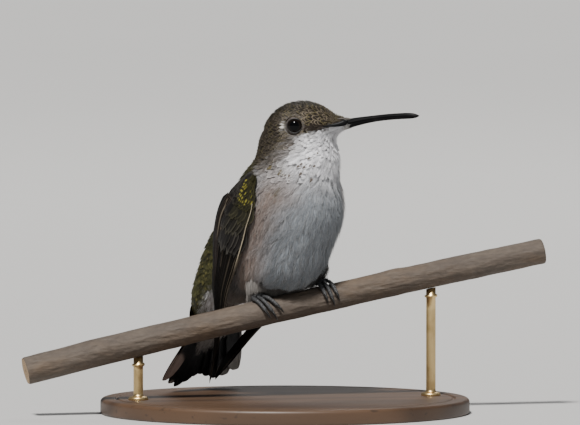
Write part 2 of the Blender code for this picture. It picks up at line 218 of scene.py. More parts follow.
TRUNK = Frame(TRUNK_CENTRE, TRUNK_YAW, TRUNK_PITCH)
HEAD = Frame(HEAD_CENTRE, HEAD_YAW, HEAD_PITCH)
TAIL = Frame(TRUNK.at(*TAIL_APEX), TAIL_YAW, TAIL_PITCH, TAIL_ROLL)
BILL_ROOT = HEAD.at(FACE_REACH + GAP, 0, BILL_HEIGHT)

# ---- the twig's line ----


def twig_centre(x):
    x = np.asarray(x, float)
    return np.stack([x, np.zeros_like(x), TWIG_HEIGHT + TWIG_SLOPE * x + TWIG_BEND * x * x], -1)


def twig_radius(x):
    return np.interp(x, TWIG_ENDS, TWIG_RADII)


def twig_axes(x):
    along = unit(twig_centre(x + 0.5) - twig_centre(x - 0.5))
    front = np.array((0, -1.0, 0))
    return along, np.cross(front, along), front


def round_twig(x, angle, clearance):
    """A point over the twig's surface; an angle of 0 is on top and 90 is at the front."""
    _, up, front = twig_axes(x)
    reach = twig_radius(x) + clearance
    return twig_centre(x) + reach * (cos(radians(angle)) * up + sin(radians(angle)) * front)


# ---- the plumage's outer surface ----

BLEND = 1.3  # how softly neighbouring forms run together
FORMS = (  # frame, centre and half sizes, each forward, right and up in that frame
    (HEAD, (0.8, 0.0, 2.6), (7.5, 6.5, 5.7)),
    (HEAD, (4.9, 0.0, 2.2), (8.7, 3.2, 2.0)),
    (HEAD, (2.2, 0.0, -5.0), (5.7, 6.4, 4.9)),
    (TRUNK, (-1.7, 0.0, 20.1), (10.0, 8.3, 7.3)),
    (TRUNK, (1.3, 0.0, 8.2), (13.1, 12.4, 13.5)),
    (TRUNK, (0.3, 0.0, -0.7), (14.8, 11.3, 13.4)),
    (TRUNK, (-5.3, 0.3, -9.7), (8.9, 9.7, 10.2)),
    (TAIL, (-1.4, 0.0, 0.8), (4.9, 7.6, 11.3)),
)


def body_distance(points):
    """How far points lie outside the plumage, negative inside it."""
    total = np.zeros(points.shape[:-1])
    for place, centre, half in FORMS:
        half = np.array(half)
        scaled = (place.local(points) - centre) / half
        near = np.linalg.norm(scaled, axis=-1) + 1e-6
        steep = np.linalg.norm(scaled / half, axis=-1) + 1e-6
        total += np.exp(-near * (near - 1) / steep / BLEND)
    return -BLEND * np.log(total + 1e-30)


def twig_intrusion(points):
    """How far points reach into the space that the twig and the feet need, positive inside it."""
    x = np.clip(points[..., 0], *TWIG_ENDS)
    foot = np.min([np.abs(x - place) for place, _ in FEET.values()], axis=0)
    room = TWIG_ROOM + FOOT_ROOM * ease((6.0 - foot) / 2.5)
    slope = TWIG_SLOPE + 2 * TWIG_BEND * x
    off = points - twig_centre(x)
    distance = np.hypot(off[..., 1], off[..., 2] / np.sqrt(1 + slope * slope))
    return twig_radius(x) + room - distance


def coat_distance(points):
    """How far points lie outside the coat, which is the plumage less the room round the twig."""
    soft = 0.35  # how softly the coat gives way to that room
    a, b = body_distance(points) / soft, twig_intrusion(points) / soft
    return soft * np.logaddexp(a, b)


def coat_slope(points, distance=coat_distance):
    step = 0.04  # how far to each side the distance is measured
    changes = [distance(points + way) - distance(points - way) for way in np.eye(3) * step]
    return np.stack(changes, -1) / (2 * step)


def settle(points, level, turns=3):
    """Moves points straight in or out to where the coat's distance is level. Gives them and the way out."""
    for _ in range(turns):
        slope = coat_slope(points)
        short = (level - coat_distance(points))[..., None]
        points = points + slope * short / np.maximum(dot(slope, slope), 0.2)
    return points, unit(coat_slope(points))


# ---- the spine, and rings of skin along it ----

SPINE = np.array(
    [
        HEAD.at(12.4, 0, BILL_HEIGHT),
        HEAD.at(6.0, 0, 2.0),
        HEAD.at(0.8, 0, -0.5),
        TRUNK.at(-1.2, 0, 17.0),
        TRUNK.at(-0.4, 0, 8.5),
        TRUNK.at(0.0, 0, 0.0),
        TRUNK.at(-1.2, 0, -8.5),
        TAIL.at(0.2, 0, 1.5),
        TAIL.at(-0.8, 0, -9.2),
    ]
)


def spine_planes(t):
    """For each place along the spine: its centre, and the plane's ventral and right directions."""
    centre = between(t, *SPINE)
    tangent = unit(between(t + 0.004, *SPINE) - between(t - 0.004, *SPINE))
    turn = ease(t / 0.45)[:, None]
    belly = -HEAD.axes[2] * (1 - turn) + TRUNK.axes[0] * turn
    ventral = level_with(belly, tangent)
    return centre, ventral, np.cross(ventral, tangent)


def skin_rings(t, turns, level):
    """Points at a level of the coat, where rays at these turns round each spine plane's centre meet it."""
    centre, ventral, right = spine_planes(t)
    ray = round_about(turns, ventral[:, None], right[:, None])
    inner, outer = np.zeros(ray.shape[:-1]), np.full(ray.shape[:-1], FARTHEST_SKIN)
    for _ in range(SKIN_HALVINGS):
        middle = (inner + outer) / 2
        outside = coat_distance(centre[:, None] + ray * middle[..., None]) > level
        outer = np.where(outside, middle, outer)
        inner = np.where(outside, inner, middle)
    return centre[:, None] + ray * inner[..., None]


def skin_grid(rings, sides):
    """The skin's points, in rings from the bill's root to the tail. Each ring ends where it starts."""
    return skin_rings(np.linspace(0.004, 0.998, rings), np.linspace(-pi, pi, sides + 1), -COAT_DEPTH)


# ---- making meshes ----


def new_piece(name, points, faces, material, replaces=(), attributes=None, maps=None):
    """A smooth piece; its faces have equal numbers of corners, attributes and maps a row for each point."""
    points, faces = np.asarray(points, float).reshape(-1, 3), np.asarray(faces, int)
    corners = faces.shape[1]
    mesh = bpy.data.meshes.new(name)
    mesh.vertices.add(len(points))
    mesh.vertices.foreach_set("co", (points * MM).astype(np.float32).ravel())
    mesh.loops.add(faces.size)
    mesh.loops.foreach_set("vertex_index", faces.astype(np.int32).ravel())
    mesh.polygons.add(len(faces))
    mesh.polygons.foreach_set("loop_start", np.arange(0, faces.size, corners, dtype=np.int32))
    mesh.polygons.foreach_set("use_smooth", np.ones(len(faces), bool))
    for key, values in (attributes or {}).items():
        kind, field = ("FLOAT_COLOR", "color") if values.shape[1] == 4 else ("FLOAT_VECTOR", "vector")
        layer = mesh.attributes.new(key, kind, "POINT")
        layer.data.foreach_set(field, values.astype(np.float32).ravel())
    for key, values in (maps or {}).items():
        layer = mesh.uv_layers.new(name=key)
        layer.data.foreach_set("uv", values[faces.ravel()].astype(np.float32).ravel())
    mesh.update(calc_edges=True)
    mesh.validate()
    mesh.materials.append(material)
    piece = bpy.data.objects.new(name, mesh)
    bpy.context.scene.collection.objects.link(piece)
    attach(piece, "root")
    if replaces:
        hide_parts(*replaces)


def grid_faces(rows, columns, closed=False):
    """Four-cornered faces over a grid of points, closed round its columns or not."""
    i = np.arange(rows - 1)[:, None]
    j = np.arange(columns if closed else columns - 1)[None, :]
    k = (j + 1) % columns
    faces = np.stack([i * columns + j, i * columns + k, (i + 1) * columns + k, (i + 1) * columns + j], -1)
    return faces.reshape(-1, 4)


class Build:
    """Collects points and four-cornered faces of one joined piece, with values for each point."""

    def __init__(self):
        self.points, self.faces, self.values, self.count = [], [], {}, 0

    def add(self, points, faces, **values):
        points = np.asarray(points, float).reshape(-1, 3)
        self.points.append(points)
        self.faces.append(np.asarray(faces, int) + self.count)
        self.count += len(points)
        for key, value in values.items():
            value = np.asarray(value, float)
            self.values.setdefault(key, []).append(np.broadcast_to(value, (len(points), value.shape[-1])))

    def tube(self, path, radii, sides=12, **values):
        """A round limb through points, with its own radius at each, drawn in to a point at both ends."""
        path = np.asarray(path, float)
        tangent = unit(np.gradient(path, axis=0))
        across = unit(np.cross(tangent, (0.31, 0.22, 0.93)))
        over = np.cross(across, tangent)
        radii = np.asarray(radii, float)
        reach = radii if radii.ndim == 2 else np.broadcast_to(radii, (len(path),))[:, None]
        ring = round_about(full_turn(sides), across[:, None], over[:, None])
        rings = path[:, None] + reach[..., None] * ring
        first = path[:1, None] + (rings[:1] - path[:1, None]) * 0.05
        last = path[-1:, None] + (rings[-1:] - path[-1:, None]) * 0.05
        rings = np.concatenate([first, rings, last])
        self.add(rings, grid_faces(len(rings), sides, closed=True), **values)

    def finish(self, name, material, slot, replaces=(), maps=()):
        values = {key: np.concatenate(parts) for key, parts in self.values.items()}
        attributes = {key: value for key, value in values.items() if key not in maps}
        layers = {key: values[key] for key in maps}
        points, faces = np.concatenate(self.points), np.concatenate(self.faces)
        new_piece(name, points, faces, material, replaces, attributes, layers)


# ---- making materials ----


class Wire:
    """One output of a node. Sums with it add Math nodes."""

    def __init__(self, finish, socket):
        self.finish, self.socket = finish, socket

    def maths(self, operation, *values):
        return self.finish.node("Math", {"operation": operation}, dict(enumerate(values)))

    def __add__(self, other):
        return self.maths("ADD", self, other)

    def __radd__(self, other):
        return self.maths("ADD", other, self)

    def __sub__(self, other):
        return self.maths("SUBTRACT", self, other)

    def __rsub__(self, other):
        return self.maths("SUBTRACT", other, self)

    def __mul__(self, other):
        return self.maths("MULTIPLY", self, other)

    def __rmul__(self, other):
        return self.maths("MULTIPLY", other, self)

    def __truediv__(self, other):
        return self.maths("DIVIDE", self, other)

    def __pow__(self, other):
        return self.maths("POWER", self, other)

    def __abs__(self):
        return self.maths("ABSOLUTE", self)

    def sine(self):
        return self.maths("SINE", self)

    def above(self, low, high):
        """0 up to low, 1 from high on, and a soft step between."""
        settings = {"interpolation_type": "SMOOTHSTEP"}
        return self.finish.node("MapRange", settings, {"Value": self, "From Min": low, "From Max": high})


class Finish:
    """A material with one main shader. Numbers are set on its sockets, and what varies is linked."""

    def __init__(self, name, **fixed):
        self.material = bpy.data.materials.new(name)
        self.material.use_nodes = True
        self.tree = self.material.node_tree
        self.shader = self.tree.nodes["Principled BSDF"]
        for key, value in fixed.items():
            self.shader.inputs[key.replace("_", " ").title().replace("Ior", "IOR")].default_value = value

    def node(self, kind, settings=None, inputs=None, output=0):
        """Adds a node: its settings come first, then its sockets' values or links, by name or number."""
        made = self.tree.nodes.new("ShaderNode" + kind)
        for key, value in (settings or {}).items():
            setattr(made, key, value)
        for key, value in (inputs or {}).items():
            if isinstance(value, Wire):
                self.tree.links.new(value.socket, made.inputs[key])
            else:
                made.inputs[key].default_value = value
        return Wire(self, made.outputs[output])

    def stored(self, name, output="Color"):
        """A value kept on the mesh's points."""
        return self.node("Attribute", {"attribute_name": name}, output=output)

    def parts(self, vector):
        """The three numbers of a vector."""
        made = self.node("SeparateXYZ", inputs={0: vector})
        node = made.socket.node
        return [Wire(self, node.outputs[i]) for i in range(3)]

    def mix(self, share, a, b):
        """Colour a where share is 0 and b where it is 1."""
        a, b = ((*c, 1) if isinstance(c, tuple) else c for c in (a, b))
        return self.node("Mix", {"data_type": "RGBA"}, {0: share, 6: a, 7: b}, output=2)

    def tone(self, colour, amount):
        """A colour made darker or lighter by a number round 1."""
        return self.node("VectorMath", {"operation": "SCALE"}, {0: colour, "Scale": amount})

    def place(self, vector=None, stretch=None):
        """A vector, or the place on the object if none is given, stretched along each axis if asked."""
        place = vector or self.node("TexCoord", output=3)
        if stretch:
            place = self.node("VectorMath", {"operation": "MULTIPLY"}, {0: place, 1: stretch})
        return place

    def noise(self, scale, detail=3.0, vector=None, stretch=None):
        place = self.place(vector, stretch)
        return self.node("TexNoise", inputs={"Vector": place, "Scale": scale, "Detail": detail})

    def feed(self, **links):
        for key, value in links.items():
            self.tree.links.new(value.socket, self.shader.inputs[key.replace("_", " ").title()])

    def bump(self, height, strength, distance_mm):
        inputs = {"Height": height, "Strength": strength, "Distance": distance_mm * MM}
        self.feed(normal=self.node("Bump", inputs=inputs))


def vane_finish(name, barbs, roughness, sheen=0.0, streaky=0.3, shaded=0.38):
    """A feather's vane: darker at its root, partly grey down and partly painted shade between feathers, with
    a darker crescent, a paler rim, a spot and fine barbs.
    """
    made = Finish(name, roughness=roughness, sheen_weight=sheen, sheen_roughness=0.5, specular_ior_level=0.18)
    across, along, chance = made.parts(made.stored("vane", "Vector"))
    body, edge, spot = made.stored("body"), made.stored("edge"), made.stored("spot")
    edge_share, spot_share = made.stored("edge", "Alpha"), made.stored("spot", "Alpha")
    lengthwise = (along - 0.45) / 0.55
    outward = (across * across + lengthwise * lengthwise) ** 0.5
    crescent = outward.above(0.25, 0.62) * edge_share
    rim = outward.above(0.60, 0.94) * edge_share
    off_spot = (along - 0.74) * (along - 0.74) * 6.0 + across * across
    drop = (1 - (off_spot / (spot_share * 0.75 + 0.001)).above(0.25, 1.3)) * spot_share.above(0.01, 0.04)
    slant = (along - abs(across) * 0.5 + chance) * barbs
    ripple = slant.sine()
    fine = made.noise(1.0, 2.0, made.stored("vane", "Vector"), (9.0, 2.2, 30.0))
    # darker towards the root: partly the grey down and partly painted shade where the feathers overlap
    root = 1 - shaded + along.above(0.0, 0.45) * shaded
    shade = (1 - streaky * 0.5 + fine * streaky + ripple * 0.05) * root
    colour = made.mix(crescent * 0.75, body, made.tone(body, 0.30))
    colour = made.mix(drop, made.mix(rim, colour, edge), spot)
    made.feed(base_color=made.tone(colour, shade))
    made.feed(metallic=made.stored("body", "Alpha"))
    made.bump(ripple * 0.5 + fine, 0.35, 0.05)
    return made.material


def blade_finish(name, roughness):
    """A flight feather: dark vane, paler rims and a fine slant of barbs, worked out along its own length."""
    made = Finish(name, roughness=roughness, specular_ior_level=0.05)
    across, along, chance = made.parts(made.stored("vane", "Vector"))
    body = made.stored("body")
    streaks = made.noise(1.0, 3.0, made.stored("vane", "Vector"), (2.6, 0.10, 7.0))
    slant = ((along - abs(across) * 1.3) * 21.0 + chance * 9).sine()
    shade = 0.55 + streaks * 0.9 + slant * 0.05
    made.feed(base_color=made.tone(body, shade))
    made.feed(metallic=made.stored("body", "Alpha"))
    made.bump(slant * 0.4 + streaks * 0.6, 0.5, 0.06)
    return made.material


def skin_finish():
    made = Finish("feathered_skin", roughness=0.9)
    mottle = made.noise(900.0, 4.0)
    made.feed(base_color=made.tone(made.stored("body"), 0.6 + mottle * 0.5))
    made.bump(mottle, 0.5, 0.15)
    return made.material


def horn_finish():
    """The bill: black horn with a soft polish and faint lengthwise wear."""
    made = Finish("bill_horn", coat_weight=0.03, coat_roughness=0.3, specular_ior_level=0.11)
    wear = made.noise(260.0, 5.0, stretch=(1.0, 1.0, 3.5))
    grain = made.noise(1400.0, 3.0)
    made.feed(base_color=made.mix(wear.above(0.48, 0.85), (0.003, 0.003, 0.0035), (0.012, 0.0115, 0.012)))
    made.feed(roughness=0.34 + wear * 0.22)
    made.bump(grain * 0.4 + wear, 0.35, 0.06)
    return made.material


def eye_finish():
    """Almost black eye: a brown ring of iris shows faintly round a wide pupil, under a wet cornea."""
    made = Finish("eye_wet", roughness=0.04, specular_ior_level=0.13)
    _, polar, turn = made.parts(made.stored("vane", "Vector"))
    fibres = (turn * 60).sine() * 0.5 + 0.5
    iris = made.mix(fibres, (0.0035, 0.0025, 0.002), (0.009, 0.006, 0.004))
    made.feed(base_color=made.mix(polar.above(27.0, 31.0), (0.0015, 0.0016, 0.002), iris))
    return made.material


def lid_finish():
    """The rim of the eye: wet black inside, dull brown skin with fine wrinkles outside."""
    made = Finish("lid_skin", roughness=0.5)
    _, outward, _ = made.parts(made.stored("vane", "Vector"))
    grain = made.noise(2600.0, 3.0)
    skin = made.mix(grain.above(0.4, 0.7), (0.045, 0.037, 0.032), (0.15, 0.125, 0.11))
    made.feed(base_color=made.mix(outward.above(2.0, 5.5), (0.005, 0.0045, 0.0045), skin))
    made.bump(grain, 0.6, 0.06)
    return made.material


def scale_finish(name, dark, light, roughness, shine):
    """Bare skin of legs and toes: small plates whose edges and flecks of grain are painted paler as
    highlights.
    """
    made = Finish(name, coat_weight=shine, coat_roughness=0.3)
    grain = made.noise(1700.0, 4.0)
    plates = made.node("TexVoronoi", {"feature": "DISTANCE_TO_EDGE"}, {"Scale": 2300.0})
    # painted highlights: paler colour along the plates' edges and on flecks of grain, standing for the skin's
    # shine
    painted_highlights = (1 - plates.above(0.02, 0.16)) * 0.55 + grain.above(0.5, 0.85) * 0.5
    made.feed(base_color=made.mix(painted_highlights, dark, light))
    made.feed(roughness=roughness + grain * 0.2)
    made.bump(plates.above(0.0, 0.25) + grain * 0.3, 0.5, 0.08)
    return made.material


def bark_finish():
    """Weathered bark: tan over grey-brown, with fine fibres along the twig, pits and darker cracks."""
    made = Finish("weathered_bark")
    long = made.noise(240.0, 6.0, stretch=(0.22, 1.0, 1.0))
    fibres = made.noise(1500.0, 4.0, stretch=(0.12, 1.0, 1.0))
    patches = made.noise(85.0, 4.0, stretch=(0.45, 1.0, 1.0))
    long_cells = {"Vector": made.place(stretch=(0.16, 1.0, 1.0)), "Scale": 620.0}
    cracks = made.node("TexVoronoi", {"feature": "DISTANCE_TO_EDGE"}, long_cells)
    pits = made.noise(1100.0, 6.0, stretch=(0.55, 1.0, 1.0))
    ground = made.mix(long.above(0.32, 0.66), (0.105, 0.080, 0.062), (0.140, 0.110, 0.086))
    warm = made.mix(patches.above(0.52, 0.72) * 0.5, ground, (0.20, 0.128, 0.070))
    dusty = made.mix(fibres.above(0.52, 0.8) * 0.35, warm, (0.21, 0.185, 0.16))
    seams = (1 - cracks.above(0.0, 0.045)) * fibres.above(0.3, 0.62)
    made.feed(base_color=made.tone(made.mix(seams * 0.12, dusty, (0.05, 0.036, 0.028)), 0.44 + pits * 0.56))
    made.feed(roughness=0.62 + long * 0.25)
    made.bump(fibres * 0.8 + long * 0.2 + pits * 1.2, 0.9, 0.22)
    return made.material


def cut_wood_finish():
    """A sawn end: growth rings round the pith, with fine pores."""
    made = Finish("cut_wood", roughness=0.78)
    _, _, reach = made.parts(made.stored("vane", "Vector"))
    wobble = made.noise(420.0, 3.0)
    rings = ((reach + wobble * 0.5) * 13.0).sine() * 0.5 + 0.5
    pores = made.noise(2600.0, 3.0)
    pale = made.mix(rings, (0.5, 0.36, 0.22), (0.36, 0.235, 0.13))
    heart = made.mix(1 - reach.above(0.1, 0.5), pale, (0.13, 0.08, 0.045))
    made.feed(base_color=made.tone(heart, 0.75 + pores * 0.5))
    made.bump(rings * 0.4 + pores, 0.5, 0.1)
    return made.material


def walnut_finish():
    """Oiled walnut: long grain along X, darker pores, a soft satin."""
    made = Finish("oiled_walnut", coat_weight=0.15, coat_roughness=0.35)
    grain = made.noise(55.0, 6.0, stretch=(0.12, 1.0, 1.0))
    figure = made.noise(16.0, 3.0, stretch=(0.2, 1.0, 1.0))
    lines = ((figure * 46).sine() * 0.5 + 0.5) * 0.6 + grain * 0.4
    pores = made.noise(900.0, 2.0, stretch=(0.05, 1.0, 1.0))
    tone = made.mix(lines, (0.040, 0.021, 0.011), (0.105, 0.058, 0.031))
    made.feed(base_color=made.mix(pores.above(0.6, 0.72) * 0.6, tone, (0.018, 0.010, 0.006)))
    made.feed(roughness=0.4 + grain * 0.2)
    made.bump(pores * -1.0 + grain * 0.3, 0.25, 0.08)
    return made.material


def brass_finish():
    """Satin brass, brushed round, a little darker with handling."""
    made = Finish("satin_brass", metallic=1.0)
    brushed = made.noise(900.0, 3.0, stretch=(1.0, 1.0, 14.0))
    tarnish = made.noise(180.0, 4.0)
    made.feed(base_color=made.mix(tarnish.above(0.45, 0.75), (0.74, 0.55, 0.27), (0.5, 0.34, 0.15)))
    made.feed(roughness=0.28 + brushed * 0.16)
    made.bump(brushed, 0.12, 0.03)
    return made.material


def floor_finish():
    made = Finish("pale_floor", roughness=0.7)
    cloud = made.noise(3.0, 2.0)
    made.feed(base_color=made.mix(cloud, (0.56, 0.56, 0.555), (0.58, 0.58, 0.575)))
    return made.material


# ---- the bird's markings ----

WHITE = (0.84, 0.84, 0.87)
# the breast's and belly's greys are partly their own colour and partly painted shade: darker and bluer, as
# the underside lies in shade
BREAST_GREY_AND_SHADE = (0.262, 0.288, 0.318)
BELLY_GREY_AND_SHADE = (0.088, 0.111, 0.125)
BUFF = (0.19, 0.135, 0.108)
CROWN_BROWN = (0.036, 0.029, 0.022)
CROWN_DARK = (0.0095, 0.0077, 0.0061)
CROWN_EDGE = (0.16, 0.132, 0.094)
GOLD = (0.15, 0.125, 0.042)
GREEN_BRONZE = (0.042, 0.042, 0.015)
DEEP_OLIVE = (0.013, 0.013, 0.008)
OLIVE_EDGE = (0.085, 0.078, 0.032)
EAR_BROWN = (0.060, 0.050, 0.043)
DUSKY = (0.10, 0.082, 0.070)

THROAT_FLECKS = (  # forward and up in the head's frame, on both sides, and the share of the feather coloured
    (-4.6, -6.0, 1.0), (-3.6, -4.4, 0.7), (-1.8, -7.2, 1.1), (0.3, -7.6, 0.6),
    (2.7, -7.8, 0.5), (4.1, -9.2, 0.6), (1.8, -6.1, 0.3), (3.7, -7.0, 0.35),
    (5.0, -6.4, 0.3), (3.1, -5.3, 0.25), (4.6, -5.0, 0.3), (5.7, -3.3, 0.25),
)
CAP_EDGE = (  # where the dark cap ends, forward and up in the head's frame
    (-12, -8), (-8, -5.6), (-3.6, -3.4), (0.3, -0.7), (2.7, 0.6), (8, 1.8), (12, 2.0),
)


def blend(share, a, b):
    """Colour a where share is 0 and b where it is 1, for rows of either."""
    share = np.asarray(share, float)[..., None]
    return np.asarray(a, float) * (1 - share) + np.asarray(b, float) * share


def with_share(colour, share):
    """Rows of colours, each with a share as its fourth number."""
    return np.concatenate([colour, np.broadcast_to(share, colour.shape[:-1])[..., None]], -1)


class Places:
    """Where points lie on the bird, in the terms that its markings are told in."""

    def __init__(self, points):
        self.head, self.trunk, self.tail = HEAD.local(points), TRUNK.local(points), TAIL.local(points)
        cap_line = np.interp(self.head[..., 0], *np.transpose(CAP_EDGE))
        on_head = ease((self.trunk[..., 2] - 13) / 6)
        over_cap_line = self.head[..., 2] - cap_line
        behind_wing = -self.trunk[..., 0] - 2.5
        self.on_head = on_head
        self.dark_side = over_cap_line * on_head + behind_wing * (1 - on_head)  # above 0 on the upper side
        side = np.sign(self.head[..., 1]) + (self.head[..., 1] == 0)
        forward, outward, up = EYE_PLACE
        self.from_eye = self.head - np.stack([0 * side + forward, side * outward, 0 * side + up], -1)
        self.eye_reach = np.hypot(self.from_eye[..., 0], self.from_eye[..., 2])
        self.gorget = ease((self.head[..., 2] + 11) / 2.5) * ease(-self.dark_side / 1.2) * on_head
        self.rump_tuft = ease(
            1.6 * bell(self.tail[..., 2], -0.5, 6.5) * bell(self.tail[..., 0], 2.2, 3.0)
            * ease((np.abs(self.tail[..., 1]) - 3.5) / 1.5)
        )
        self.ear = bell(self.dark_side, -1.0, 4.8) * ease((4.2 - self.head[..., 0]) / 4) * on_head
        self.down = self.trunk[..., 2]
        self.out = np.abs(self.trunk[..., 1])


def scatter(points, size, seed):
    """Smooth noise from 0 to 1 at each point, with lumps of this size."""
    shift = Vector((seed * 17.3, seed * 5.1, seed * 9.7))
    rows = points.reshape(-1, 3)
    return np.array([noise.noise(Vector(row) / size + shift) for row in rows]) * 0.5 + 0.5


def underside_colour(at, chance, clumps):
    """White throat, grey-white breast, grey belly and buff flanks; the greys darken downward partly as
    painted shade, and the vent and lower flanks are lifted partly as painted light.
    """
    colour = blend(ease((23.5 - at.down) / 9), WHITE, BREAST_GREY_AND_SHADE)
    # lower down, a darker bluer grey: the belly's own grey and painted shade under the body
    colour = blend(ease((4 - at.down) / 14) * 0.55, colour, BELLY_GREY_AND_SHADE)
    flank = bell(at.trunk[..., 0], 4.5, 7.0) * ease((20 - at.down) / 6) * ease((at.out - 4) / 4)
    colour = blend(flank * 0.9, colour, BUFF)
    neck_side = bell(at.down, 18.0, 6.0) * ease((at.out - 4) / 4)
    colour = blend(neck_side * 0.55, colour, (0.33, 0.285, 0.27))
    # the vent is paler, partly its own pale buff and partly painted light where the wing's shadow falls
    vent = ease((-12 - at.down) / 5)
    colour = blend(vent * 0.7, colour, (0.36, 0.32, 0.29))
    # the lower flanks are made brighter as painted light against the wing's shadow
    colour = colour * (1 + 0.5 * flank * ease((4 - at.down) / 10))[..., None]
    return colour * (0.72 + 0.46 * clumps + 0.14 * chance)[..., None]


def upper_colour(at, chance, lumps):
    """Grey-brown crown and bronze-green back, brighter over the rump."""
    crown = blend(chance * 0.8, CROWN_BROWN, CROWN_DARK)
    back = blend(ease(lumps * 1.4 - 0.2), DEEP_OLIVE, GREEN_BRONZE)
    back = back * (1 + 0.9 * ease((-4 - at.down) / 8))[..., None]
    return blend(ease((20 - at.down) / 7), crown, back)


def lores_streak(at):
    """1 in the dusky streak from the eye to the gape."""
    streak = bell(at.from_eye[..., 2] + 0.12 * at.from_eye[..., 0], -0.25, 1.1)
    return streak * ease((at.from_eye[..., 0] - 1.0) / 0.8) * ease((9.2 - at.head[..., 0]) / 1.2)


def mark_face(at, body, chance, lumps, lores):
    """The ear's brown, the dusky lores, and the pale spot behind the eye and arc under it."""
    cheek = blend(chance, EAR_BROWN, (0.14, 0.122, 0.110))
    body = blend(np.clip(at.ear * (0.7 + 0.5 * lumps), 0, 1), body, cheek)
    body = blend(lores * 0.9, body, (0.03, 0.023, 0.019))
    behind = bell(at.eye_reach, 2.6, 0.65) * ease((-at.from_eye[..., 0] - 1.3) / 0.8)
    behind = behind * bell(at.from_eye[..., 2], 0.0, 1.6)
    arc = bell(at.eye_reach, 2.3, 0.6) * (0.3 + 0.7 * ease((-at.from_eye[..., 2] - 0.4) / 0.8))
    body = blend(np.clip(behind * 1.3, 0, 1), body, (0.60, 0.58, 0.56))
    return blend(arc * 0.6, body, (0.34, 0.31, 0.285))


def crown_tone_and_painted_shade(at, dark, lores):
    """What the head's dark colours are multiplied by: palest on the forehead, darkest on its top, where
    painted shade darkens the crown against the light from above.
    """
    top = ease((at.head[..., 2] - 4.5) / 3.5)
    forehead = ease((at.head[..., 0] - 1) / 5)
    nape = ease((-1 - at.head[..., 0]) / 3)
    # the top's darkening is painted shade: the head's top made darker against the light that falls on it from
    # above
    tone = 0.45 * forehead * (1 - top) * (1 - lores) - 0.58 * top - 0.15 * nape
    return (1 + dark * at.on_head * tone)[..., None]


def throat_flecks(at, chance):
    """Spots on the throat, on a few feathers for the largest: large ones olive-gold, small ones dusky."""
    share = at.gorget * (chance > 0.93) * ease((-1.0 - at.head[..., 2]) / 3) * 0.19
    spot = np.broadcast_to(DUSKY, share.shape + (3,))
    for side in (1, -1):
        for forward, up, size in THROAT_FLECKS:
            away = np.hypot(at.head[..., 0] - forward, at.head[..., 2] - up)
            away = away + 99 * (at.head[..., 1] * side < 0)
            marked = ((away == away.min()) & (away < 1.5)) | (away < 0.7 * (size > 1.05))
            share = np.where(marked, size, share)
            spot = blend(marked * (size > 0.6), spot, (0.095, 0.078, 0.040))
    return spot, share


def plumage_colours(points, chance):
    """Body, edge and spot colours for feathers at these points, each with a share as its fourth number."""
    at = Places(points)
    lumps = scatter(points, 1.6, 1)
    jitter = (lumps - 0.5) * 2.0 + (chance - 0.5) * 0.8
    front_of_eye = ease((at.head[..., 0] - 0.5) / 3.0)
    softness = 1.5 - 0.9 * front_of_eye
    dark = ease((at.dark_side + jitter * (0.5 + 0.6 * (1 - front_of_eye))) / softness / 2 + 0.5)
    lores = lores_streak(at)
    under = underside_colour(at, chance, scatter(points, 1.9, 2))
    body = blend(dark, under, upper_colour(at, chance, lumps))
    body = mark_face(at, body, chance, lumps, lores)

    # the bronze smudge at the side of the breast, and the loose white tuft at the side of the rump
    smudge = bell(at.down, 15.5, 1.9) * bell(at.trunk[..., 0], 3.9, 2.3) * ease((at.out - 5.5) / 2)
    body = blend(np.clip(smudge * 1.5, 0, 1) * ease(lumps * 3 - 0.8), body, (0.062, 0.050, 0.022))
    body = blend(at.rump_tuft, body, (0.86, 0.86, 0.88))
    dark = dark * (1 - at.rump_tuft)

    edge = blend(dark, blend(0.5, body, (0.8, 0.78, 0.76)), blend((chance > 0.6) * 0.5, CROWN_EDGE, GOLD))
    edge = blend(ease((18 - at.down) / 6) * dark, edge, blend((chance > 0.75) * 0.6, OLIVE_EDGE, GOLD))
    edge = blend(lores, edge, (0.09, 0.07, 0.055))
    face = ease((at.head[..., 0] + 3.5) / 4) * at.on_head
    edge_share = dark * (0.22 + 0.52 * face + 0.20 * lumps) * (1 - 0.7 * lores) + (1 - dark) * 0.30
    # tone darkens the top of the head as painted shade and lightens the forehead
    tone = crown_tone_and_painted_shade(at, dark, lores)

    # gold specks over the back
    speckled = dark * (1 - at.on_head) * (chance > 0.58)
    spot, spot_share = throat_flecks(at, chance)
    spot = blend(speckled, spot, (0.125, 0.108, 0.037))
    spot_share = np.maximum(spot_share, speckled * 0.075 * (0.4 + lumps))

    gleam = dark * (1 - at.on_head * 0.7) * 0.35
    return with_share(body * tone, gleam), with_share(edge * tone, edge_share), with_share(spot, spot_share)


# ---- the skin ----


def make_skin(material):
    """The smooth skin under the coat, in a darker tone of the feathers over it."""
    rings, sides = 190, 120
    rows = skin_grid(rings, sides).reshape(-1, 3)
    shares = (np.linspace(0.01, 0.99, count) for count in (rings, sides + 1))
    along, around = np.meshgrid(*shares, indexing="ij")
    unwrapped = np.stack([around, along], -1).reshape(-1, 2)
    body, _, _ = plumage_colours(rows, np.full(len(rows), 0.5))
    body[:, :3] *= 0.7
    replaced = ("head", "neck", "trunk", "rump", "uppertail_coverts", "undertail_coverts")
    faces = grid_faces(rings, sides + 1)[:, ::-1]
    maps = {"OFBake": unwrapped}
    new_piece("skin", rows, faces, material, replaced, {"body": body}, maps)


# ---- where feathers are rooted, how large they are and which way they lie ----


